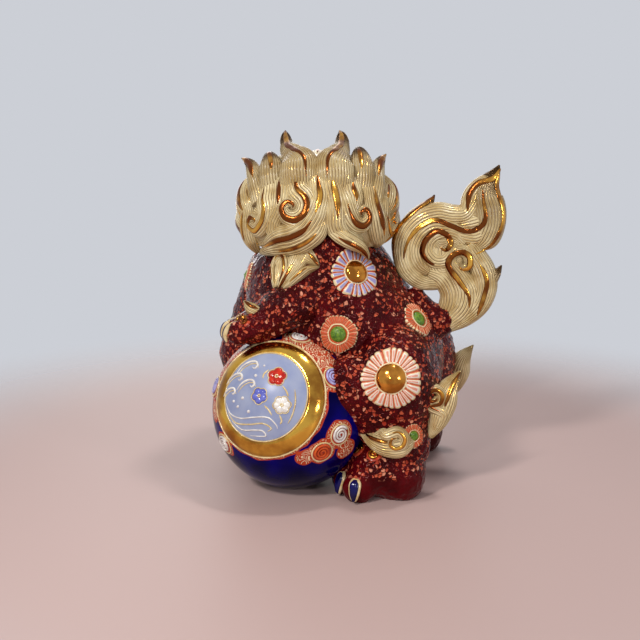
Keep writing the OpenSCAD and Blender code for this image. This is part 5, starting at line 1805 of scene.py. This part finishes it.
@dataclass
class Tail:
    """Flame plume in the plane of the body: combed locks, two coils and gold strokes on both faces."""

    half: float = 10.0

    def ribbon(self, stations: Stations, free: bool = False) -> Lock:
        """A lock of the plume from stations of x, z, half width and half thickness."""
        return Lock([[s[0], 0, s[1], s[2], s[3]] for s in stations], (0, -1, 0), 1.9, free=free)

    def height(self, locks: Sequence[Lock], x: Array, z: Array) -> Array:
        """Half thickness of the plume at points of its plane: the greatest crest of the locks there.

        Args:
            locks: The plume's locks.
            x: Points.
            z: Points.

        Returns:
            One number for each point.
        """
        best = np.full(x.shape, 1.0)
        for lock in locks:
            d2 = (x[..., None] - lock.c[:, 0]) ** 2 + (z[..., None] - lock.c[:, 2]) ** 2
            k = d2.argmin(-1)
            share = np.sqrt(d2.min(-1)) / lock.w[k]
            best = np.maximum(best, lock.h[k] * np.sqrt(np.maximum(1 - share**2.4, 0)))
        return best

    def stroke(self, locks: Sequence[Lock], stations: Stations, half: float) -> list[Patch]:
        """A gold stroke through points of the plane, laid on both faces of the plume.

        Args:
            locks: What it lies on.
            stations: Points of x and z.
            half: Half width.

        Returns:
            One closed patch for each face.
        """
        run = smooth_run(stations, count(9))
        t = unit(np.gradient(run, axis=0))
        a = circle(STROKE_SIDES)
        w = tapered(len(run), half, 0.22)[:, None]
        x = run[:, :1] - t[:, 1:2] * w * np.cos(a)[None, :-1]
        z = run[:, 1:2] + t[:, :1] * w * np.cos(a)[None, :-1]
        lift = np.where(np.sin(a) >= 0, 1.1, 0.6)[None, :-1] * np.sin(a)[None, :-1] * (w / half)
        y = self.height(locks, x, z) + lift
        faces = [np.stack([x, side * y, z], -1) for side in (-1, 1)]
        return [closed(p, a / (2 * np.pi), np.linspace(0, 5, len(run)), 1) for p in faces]

    def strokes(self, locks: Sequence[Lock], drawn: Sequence[tuple[Stations, float]]) -> list[Patch]:
        """Several gold strokes, each a path and its half width."""
        return [p for path, half in drawn for p in self.stroke(locks, path, half)]

    def collar(self) -> None:
        """Makes the root between the rump and the plume."""
        root = Mass((96, 0, 135), (16, 14, 20))
        links = [Link(root, Mass((111, 0, 140), (11, 11, 14))), Link(root, Mass((83, 0, 154), (12, 12, 13)))]
        made = Form(tuple(links), 2.0).shell([(92, 0, 134), (111, 0, 140)], 60, 90, lump=0.4)
        skin("tail_collar", "tail_root", [MAROON], [made])

    def build(self) -> None:
        """Makes the root collar, the plume, its tongue and its barbs."""
        self.collar()
        h = self.half
        outer = self.ribbon([
            [112, 172, 5, 6], [100, 170, 6, 7], [87, 173, 8, 8], [77, 183, 9, 9], [73, 198, 9.5, 9],
            [77, 214, 10, 9], [88, 226, 10, 9], [102, 230.5, 9.5, 9], [115, 229, 9, 9], [125, 230, 8.5, 8.5],
            [131, 238, 8, 8], [134, 247, 8, 7]])
        inner = self.ribbon([
            [96, 180, 4, 7], [88, 186, 8, 9], [84, 198, 9, h], [88, 211, 9, h], [98, 219, 9, h],
            [110, 219, 8.5, h], [122, 214, 8.5, 9.5], [134, 212, 9, 9], [144, 218, 9, 8]])
        disc = self.ribbon([
            [126, 206, 6, 8], [118, 213, 8, 10], [106, 215, 9, 11], [96, 209, 9, 11], [94, 199, 9, 11],
            [100, 191, 9, 11], [109, 191, 8, 11], [114, 198, 7, 11], [111, 205, 6, 11], [104, 206, 5, 10.5],
            [102, 202, 3, 10]])
        stem = self.ribbon([
            [106, 132, 7, 8], [116, 140, 11, 9.5], [125, 151, 13, h], [127, 164, 13, h], [121, 176, 11, h],
            [114, 187, 8, h], [115, 196, 7, h], [122, 200, 7, h], [129, 196, 6.5, h], [130, 188, 5.5, h],
            [125, 185, 4, h], [122, 188, 2.5, 9.5]])
        flank = self.ribbon([
            [114, 131, 4, 6], [128, 140, 7, 8], [139, 152, 9, 9], [144, 166, 10, 9], [142, 180, 11, 9],
            [136, 192, 10, 9], [128, 204, 8, 8]])
        fill = self.ribbon(
            [[120, 196, 8, 7], [108, 184, 14, 8], [104, 200, 20, 9], [112, 208, 14, 9], [124, 212, 8, 8]])
        heel = self.ribbon(
            [[104, 138, 6, 6], [113, 150, 9, 9], [114, 163, 9, 9], [107, 175, 9, 9], [96, 180, 6, 8]])
        bridge = self.ribbon([[122, 221, 5, 7], [131, 223, 7, 8], [140, 226, 7, 8], [148, 231, 5, 7]])
        plume = [outer, inner, disc, stem, flank, fill, heel, bridge]
        tongue = self.ribbon([
            [136, 203, 6, 6], [141, 210, 13, 8.5], [145, 222, 14, 9.5], [144, 234, 15, 9.5],
            [141, 245, 14, 8.5], [143, 255, 9.5, 7], [148, 263, 5.5, 5], [152, 271, 0.6, 0.7]], True)
        edge = self.ribbon([
            [124, 226, 5, 7], [127, 236, 7, 8], [130, 247, 7, 7.5], [137, 256, 5.5, 6.5], [146, 262, 3.5, 5],
            [151, 269, 0.6, 0.8]])
        barbs = [
            self.ribbon(
                [[142, 160, 6, 6], [148, 172, 5.5, 6.5], [153, 180, 4, 5], [157, 187, 0.6, 0.7]], True),
            self.ribbon(
                [[70, 216, 3, 5], [79, 226, 5, 7], [89, 234, 5, 6], [95, 239, 3.5, 4.5], [99, 246, 0.6, 0.7]],
                True),
        ]
        every = [*plume, tongue, edge, *barbs]
        gold = self.strokes(every, (
            ([
                (101, 187), (94, 191), (90, 198), (92, 207), (97, 213), (103, 216), (110, 213), (114, 206),
                (110, 200), (105, 202)], 2.5),
            ([
                (131, 151), (130, 162), (120, 176), (113, 185), (113, 192), (118, 197), (125, 198),
                (130, 194), (130, 186), (125, 183), (121, 186)], 2.7),
            ([
                (74, 191), (77, 205), (84, 216), (94, 223), (102, 225), (115, 220), (127, 216), (137, 219),
                (142, 227), (140, 241), (139, 251)], 2.1),
        ))
        skin("plume", "tail_plume", [HAIR, GOLD], [lock.patch() for lock in plume] + gold)
        crest = self.strokes(every, (
            ([(127, 233), (128, 247), (135, 256), (147, 260), (153, 268)], 2.4),
            ([
                (151.5, 267), (151.5, 261), (150.5, 254), (152.5, 246), (156, 236), (157, 226), (154.5, 216),
                (146, 203), (135, 197)], 1.9),
        ))
        skin("plume_tongue", "tail_tongue", [HAIR, GOLD], [tongue.patch(), edge.patch(), *crest])
        rims = self.strokes(every, (
            ([(65, 190), (64.5, 204), (68, 217), (80, 230), (94, 241), (99, 245)], 1.7),
            ([(138, 144), (143, 161), (145, 175), (139, 188)], 2.1),
        ))
        skin("plume_barbs", "tail_barbs", [HAIR, GOLD], [b.patch() for b in barbs] + rims)


@dataclass
class Tufts:
    """Flame tufts of the legs and the tuft that falls from the mane over the shoulder.

    Attributes:
        clay: What they are laid on.
        shoulder: Locks of the shoulder tuft: stations, then start, end and half width of the gold stroke.
    """

    clay: Clay
    shoulder: tuple[tuple[Stations, float, float, float], ...] = (
        ((
            (-5, 208, 13, 6), (-8, 195.5, 9.5, 7), (-13, 184.5, 6, 6.5), (-19, 175, 3.6, 6),
            (-24, 167, 0.6, 2)), 0.4, 0.9, 1.5),
        (((-8, 206, 9, 6), (-2, 199, 9, 7), (4, 194, 6, 6), (9.5, 188.5, 0.6, 2)), 0.5, 0.97, 1.2),
        ((
            (9, 188.5, 0.6, 2), (1, 186.5, 3, 6.5), (-6.5, 181, 3.6, 7), (-14, 174, 2.8, 6.5),
            (-24, 166, 0.6, 2)), 0.25, 0.7, 0.7),
        ((
            (-27, 194, 2, 5), (-29, 187, 2, 6), (-28, 179, 1.8, 6), (-26, 171, 1.5, 5),
            (-25.5, 166.5, 0.6, 2)), 0.3, 0.6, 0.4),
        ((
            (-19, 200, 9, 3.5), (-22, 188, 7.5, 4), (-22, 177, 6, 4.5), (-23.5, 170, 4, 4.5),
            (-24.5, 165, 0.8, 2)), 0.4, 0.8, 0.5),
        ((
            (-28, 188, 1.2, 5), (-25, 193.5, 2.8, 6), (-19.5, 193, 4, 7.5), (-17, 185, 4.2, 8),
            (-20.5, 175.5, 3.6, 7), (-26, 167.5, 0.7, 2)), 0.1, 0.8, 1.2),
    )

    def hock(self) -> list[Patch]:
        """Left hock tuft: a flame behind the leg with a coil at its side.

        Returns:
            Both locks with their strokes.
        """
        face = (0.3, -0.95, 0)
        flame = Lock([
            [102, -58, 51, 3, 4], [108, -58, 65, 9, 7], [112, -56, 80, 12, 8], [117, -53, 93, 8, 6],
            [126, -50, 106, 0.5, 0.6]], face)
        wind = curl(104, 87, 8.5, 250, 470, 5.0, 5.0, 9)
        coil = [[104 + (x - 104) * 0.95, -63 + 0.3 * (x - 104), z, w, h] for x, z, w, h in wind]
        twist = Lock([[108, -60, 62, 4, 4], [112, -60.5, 72, 5, 5], *coil], face)
        return flame.gilded(0.45, 0.98, 2.0) + twist.gilded(0.1, 1.0, 1.8)

    def ankle(self) -> list[Patch]:
        """Left ankle tuft: a sweep of hair over the instep that ends in a coil.

        Returns:
            Both locks with their strokes.
        """
        face = (0, -0.97, 0.24)
        sweep = Lock([
            [47, -73, 57, 2, 2], [57, -80, 53, 6.5, 5], [68, -83, 50.5, 10, 7], [79, -81, 51, 11.5, 7],
            [88, -75, 53, 6, 5]], face)
        wind = curl(77, 54, 10.0, 200, -470, 5.2, 5.0, 9)
        coil = [[x, -86 + 0.22 * (x - 74), z, w, h] for x, z, w, h in wind]
        twist = Lock([[60, -81, 57, 2, 3], [66, -84, 60, 4, 4], *coil[1:]], face)
        return sweep.gilded(0.15, 0.6, 1.5, 0.2) + twist.gilded(0.25, 1.0, 1.6)

    def build(self) -> None:
        """Makes the leg tufts, the elbow tuft and the shoulder tuft."""
        pair = [HAIR, GOLD]
        hind_pair("hock_flame", "hock_tuft", pair, self.hock())
        hind_pair("ankle_hair", "ankle_tuft", pair, self.ankle())
        elbow = Lock(
            [[-38, -70, 152, 4, 5], [-45, -71, 156, 5, 5], [-51, -70, 162, 0.5, 0.6]], (0, -0.7, 0.7))
        skin("elbow_wisp", "elbow_tuft", pair, elbow.gilded(0.2, 0.95, 1.4))
        made = []
        for stations, *stroke in self.shoulder:
            made += Lock.behind(self.clay.shoulder, stations).gilded(*stroke)
        skin("shoulder_hair", "shoulder_tuft", pair, made)


@dataclass
class Face:
    """Head, jaw and features, in the head's own frame; the photograph shows only the back of the head."""

    skull: Mass = Mass((-2, 34, 232), (50, 44, 44))
    muzzle: Mass = Mass((-2, 70, 224), (34, 22, 17))
    jaw: Mass = Mass((-2, 66, 197), (27, 25, 10))
    mouth: Mass = Mass((-2, 82, 207), (26, 34, 8.5))
    eye: Triple = (-23, 67, 244)
    eye_radius: float = 10.5

    def both(self, patches: Sequence[Patch]) -> list[Patch]:
        """Patches with their mirror images across the face."""
        return [*patches, *[p.across(self.skull.at[0]) for p in patches]]

    def teeth(
        self, at: Sequence[float], arc: tuple[float, float], n: int, size: float, fang: float, way: int
    ) -> list[Patch]:
        """Teeth round an arc of the mouth, the two end ones long.

        Args:
            at: Middle of the arc.
            arc: Its half sizes.
            n: Number of teeth.
            size: Half width of a tooth.
            fang: Half length of the end ones.
            way: 1 for teeth that point up and -1 for down.

        Returns:
            One closed patch for each tooth.
        """
        made = []
        for k in range(n):
            a = math.radians(-58 + 116 * k / (n - 1))
            long = k in (0, n - 1)
            reach = fang if long else size * 1.5
            lift = way * fang * 0.4 if long else 0
            p = np.array([at[0] + arc[0] * math.sin(a), at[1] + arc[1] * math.cos(a), at[2] + lift])
            half = size * 1.2 if long else size
            rows = ((-1.0, 0.7, 0.7), (0.0, 1.0, 0.9), (0.6, 0.7, 0.6))
            run = [[*(p + [0, 0, way * reach * up]), half * w, half * h] for up, w, h in rows]
            run.append([*(p + [0, 0, way * reach]), 0.3, 0.3])
            made.append(Lock(run, (math.sin(a), math.cos(a), 0), 9.0, 5).patch())
        return made

    def redden(self, patch: Patch, cut: Mass | Link, within: float) -> None:
        """Marks the points that lie on a cut, whose glaze is red."""
        patch.marks["lining"] = (np.abs(cut.distance(patch.points)) < within).astype(float)

    def casting(self) -> None:
        """Makes the head and the lower jaw."""
        ex, ey, ez = self.eye
        middle = self.skull.at[0]
        lid = Link(Mass((ex + 10, ey + 4, ez + 8), (8, 8, 6)), Mass((ex - 12, ey - 4, ez + 10), (8, 8, 6)))
        cheek = Mass((-32, 54, 220), (19, 20, 19))
        lumps = (cheek, cheek.mirrored(0, middle), lid, lid.mirrored(0, middle))
        form = Form((self.skull, self.muzzle, *lumps), 7.0, (self.mouth,))
        head = form.shell([(-2, 40, 232)], 150, 220, lump=0.35, seed=7.0)
        self.redden(head, self.mouth, 0.8)
        head.marks["plain"] = np.clip((head.points[..., 1] - 62) / 8, 0, 1) * 0.6
        head_skin("head_casting", "head", [MAROON], [head])
        form = Form((Link(self.jaw, Mass((-2, 78, 196), (19.5, 18, 8.5))),), cuts=(self.mouth,))
        chin = form.shell([(-2, 66, 193)], 70, 130, lump=0.3, seed=8.0)
        self.redden(chin, self.mouth, 0.8)
        head_skin("chin", "lower_jaw", [MAROON], [chin])

    def bite(self) -> None:
        """Makes the tongue and the teeth."""
        tongue = Mass((-2, 78, 201.5), (13, 20, 5))
        lick = Form((tongue,)).shell([tongue.at], 40, 60)
        furrow = 1.6 * np.exp(-(((lick.points[..., 0] + 2) / 3.0) ** 2))
        lick.points[..., 2] -= furrow * (lick.points[..., 2] > tongue.at[2])
        head_skin("curled_tongue", "tongue", [TONGUE], [lick])
        upper = self.teeth((-2, 69, 213), (25, 20), 8, 3.2, 8, -1)
        lower = self.teeth((-2, 75, 201), (19, 17), 6, 2.8, 6, 1)
        head_skin("teeth_above", "upper_teeth", [WHITE], upper)
        head_skin("teeth_below", "lower_teeth", [WHITE], lower)

    def snout(self) -> None:
        """Makes the knobbed nose with its two nostrils."""
        middle = self.skull.at[0]
        hole = Mass((-11, 94, 229), (3.4, 5, 3))
        wing = Mass((-12, 85, 231), (8, 8, 7))
        masses = (Mass((-2, 88, 234), (11, 9, 9)), wing, wing.mirrored(0, middle))
        form = Form(masses, 4.0, (hole, hole.mirrored(0, middle)))
        head_skin("gilt_nose", "nose", [BOSS_GOLD], [form.shell([(-2, 85, 233)], 70, 110)])

    def gaze(self) -> None:
        """Makes the eyes, each a ball swelled at the pupil, and the brows over them."""
        look = unit(np.array([-0.18, 0.97, 0.05]))
        right = unit(np.cross(look, np.array([0, 0, 1.0])))
        a, t = np.meshgrid(circle(40), np.radians(np.linspace(2, 178, 40)))
        aside = np.cos(a)[..., None] * right + np.sin(a)[..., None] * np.cross(right, look)
        d = np.sin(t)[..., None] * aside + np.cos(t)[..., None] * look
        swell = self.eye_radius + 1.2 * np.exp(-((t / 0.5) ** 2))
        ball = np.array(self.eye) + d * swell[..., None]
        uv = np.stack([a / (2 * np.pi), t / (np.pi / 2)], -1)
        eye = Patch(ball[:, :-1], uv, True, ball[0].mean(0), ball[-1].mean(0))
        head_skin("glazed_eyes", "eyes", [EyeGlaze("eye_glaze", "white_glaze")], self.both([eye]))
        run = [
            [14, 12, 6, 3, 3], [7, 13, 14, 6, 5], [-6, 8, 19, 7, 5], [-16, 1, 22, 4.5, 4],
            [-21, -2, 30, 0.5, 0.6]]
        brow = Lock(np.array(run) + [*self.eye, 0, 0], (-0.15, 0.9, 0.4))
        head_skin("brow_locks", "eyebrows", [HAIR, GOLD], self.both(brow.gilded(0.1, 0.95, 1.7)))

    def ears(self) -> None:
        """Makes both ears, hollowed towards the front."""
        hollow = Link(Mass((-53, 47, 238), (5, 6, 10)), Mass((-63, 52, 234), (2, 4, 3)))
        lobe = Link(Mass((-50, 40, 238), (9, 7, 15)), Mass((-64, 47, 234), (4, 4, 6)))
        form = Form((lobe,), 4.0, (hollow,))
        ear = form.shell([(-51, 37.5, 238)], 60, 90, axis=(0, 1, 0), lump=0.2)
        self.redden(ear, hollow, 0.7)
        head_skin("left_ear_lobe", "left_ear", [MAROON], [ear])
        head_skin("right_ear_lobe", "right_ear", [MAROON], [ear.across(self.skull.at[0])])

    def beard(self) -> None:
        """Makes the five locks under the chin."""
        tufts = []
        for k in range(-2, 3):
            x, y = -2 + 13.5 * k, 78 - 4.5 * k * k
            run = [
                [x * 0.92, y, 195, 6.5, 6], [x, y + 4, 187, 7.5, 6],
                [x * 1.05, y + 4, 177 + 1.5 * k * k, 5, 4]]
            run.append([x * 1.1 + 3, y + 7, 168 + 2 * k * k, 0.5, 0.6])
            tufts += Lock(run, (0.25 * k, 0.9, 0)).gilded(0.15, 0.95, 1.7)
        head_skin("beard_locks", "beard", [HAIR, GOLD], tufts)

    def build(self) -> None:
        """Makes the head and everything on the face."""
        for step in (self.casting, self.bite, self.snout, self.gaze, self.ears, self.beard):
            step()


@dataclass
class Studio:
    """Pale floor, soft lamps and the camera at the photograph's viewpoint."""

    eye: Triple = (0.1028, -0.7258, 0.275)
    pitch: float = 10.66
    turn: float = 10.0
    sensor: float = 36.0
    lens: float = 36.0 * 850.0 / 640.0
    target: Triple = (0, 0, 0.14)
    rings: tuple[float, ...] = (0.02, 0.2, 0.4, 0.6, 0.9, 1.4, 2.2, 4.0)
    rosy: Colour = tone(194, 166, 160)
    pale: Colour = tone(208, 194, 191)
    backdrop: Colour = tone(204, 207, 214)
    room: Colour = (0.92, 0.95, 1.0, 1.0)
    room_strength: float = 0.26
    lamps: tuple[tuple[str, Triple, float, float, Triple], ...] = (
        ("key", (-0.5, -1.0, 1.0), 0.18, 10.5, (1.0, 0.98, 0.95)),
        ("spark", (-0.2, -1.15, 0.6), 0.07, 2.2, (1.0, 1.0, 1.0)),
        ("top", (0.28, 0.05, 1.25), 0.12, 4.0, (1.0, 1.0, 1.0)),
        ("window", (1.0, -0.8, 0.35), 0.14, 3.5, (0.97, 0.98, 1.0)),
        ("far", (-0.45, 1.3, 0.6), 1.0, 5.5, (1.0, 0.99, 0.97)),
    )

    def floor(self) -> None:
        """A wide disc, rosy near the figure, paler further out and clear at its rim."""
        r, a = np.meshgrid(np.array(self.rings), circle(64)[:-1], indexing="ij")
        co = np.stack([r * np.cos(a), r * np.sin(a), np.zeros(r.shape)], -1).reshape(-1, 3)
        g = np.arange(r.size).reshape(r.shape)
        g = np.concatenate([g, g[:, :1]], 1)
        quads = np.stack([g[:-1, :-1], g[1:, :-1], g[1:, 1:], g[:-1, 1:]], -1).reshape(-1, 4)
        mesh = bpy.data.meshes.new("floor")
        middle = [[len(co), int(i), int(j)] for i, j in zip(g[0, :-1], g[0, 1:])]
        mesh.from_pydata([*co.tolist(), [0, 0, 0]], [], [*quads.tolist(), *middle])
        obj = bpy.data.objects.new("floor", mesh)
        bpy.context.scene.collection.objects.link(obj)
        shade = Shade("pale_floor")
        away = shade.add("VectorMath", {"operation": "LENGTH"}, Vector=shade.place).outputs["Value"]
        ground = shade.blend(shade.ramp(away, 0.25, 0.9), self.rosy, self.pale)
        shade.dress(Base_Color=ground, Roughness=0.55, Alpha=shade.ramp(away, 0.68, 0.3))
        mesh.materials.append(shade.material)

    def lamp(self, name: str, at: Triple, size: float, power: float, colour: Triple) -> None:
        """A square soft lamp aimed at the figure.

        Args:
            name: Its name.
            at: Its place.
            size: Its side.
            power: Watts.
            colour: Its light.
        """
        data = bpy.data.lights.new(name, "AREA")
        data.shape, data.size, data.energy, data.color = "SQUARE", size, power, colour
        obj = bpy.data.objects.new(name, data)
        bpy.context.scene.collection.objects.link(obj)
        way = unit(np.array(self.target) - np.array(at))
        obj.location = at
        obj.rotation_euler = (math.acos(-way[2]), 0, math.atan2(way[1], way[0]) - math.pi / 2)

    def surroundings(self) -> None:
        """A pale backdrop for what the camera, gloss and glass see, and a dimmer room light for the rest."""
        world = bpy.data.worlds.new("soft_room")
        world.use_nodes = True
        bpy.context.scene.world = world
        nodes = Nodes(world.node_tree)
        rays = nodes.add("LightPath").outputs
        share = rays["Is Camera Ray"]
        for kind in ("Is Glossy Ray", "Is Transmission Ray"):
            share = nodes.math("MAXIMUM", share, rays[kind])
        seen = nodes.add("Background", Color=self.backdrop, Strength=1.0).outputs[0]
        room = nodes.add("Background", Color=self.room, Strength=self.room_strength).outputs[0]
        mix = nodes.add("MixShader", None, {0: share, 1: room, 2: seen})
        nodes.add("OutputWorld", Surface=mix.outputs[0])

    def camera(self) -> None:
        """The camera, fitted to the photograph."""
        data = bpy.data.cameras.new("camera")
        data.sensor_width, data.lens = self.sensor, self.lens
        data.clip_start, data.clip_end = 0.01, 50.0
        obj = bpy.data.objects.new("camera", data)
        bpy.context.scene.collection.objects.link(obj)
        obj.location = self.eye
        obj.rotation_euler = (math.radians(90 - self.pitch), 0, math.radians(self.turn))
        bpy.context.scene.camera = obj

    def build(self) -> None:
        """Makes the floor, lamps, world and camera."""
        self.floor()
        for lamp in self.lamps:
            self.lamp(*lamp)
        self.surroundings()
        bpy.context.scene.view_settings.view_transform = "Standard"
        self.camera()


def main() -> None:
    """Builds the studio and every sub-assembly."""
    logging.basicConfig(level=logging.INFO, format="%(name)s %(message)s")
    clay = Clay()
    body = (Torso(clay), Claws(clay), BrocadeBall(), Rosettes(clay))
    hair = (Mane(), Tail(), Tufts(clay))
    for part in (Studio(), *body, *hair, Face()):
        part.build()
        LOG.info("built %s", type(part).__name__)


if __name__ == "__main__":
    main()
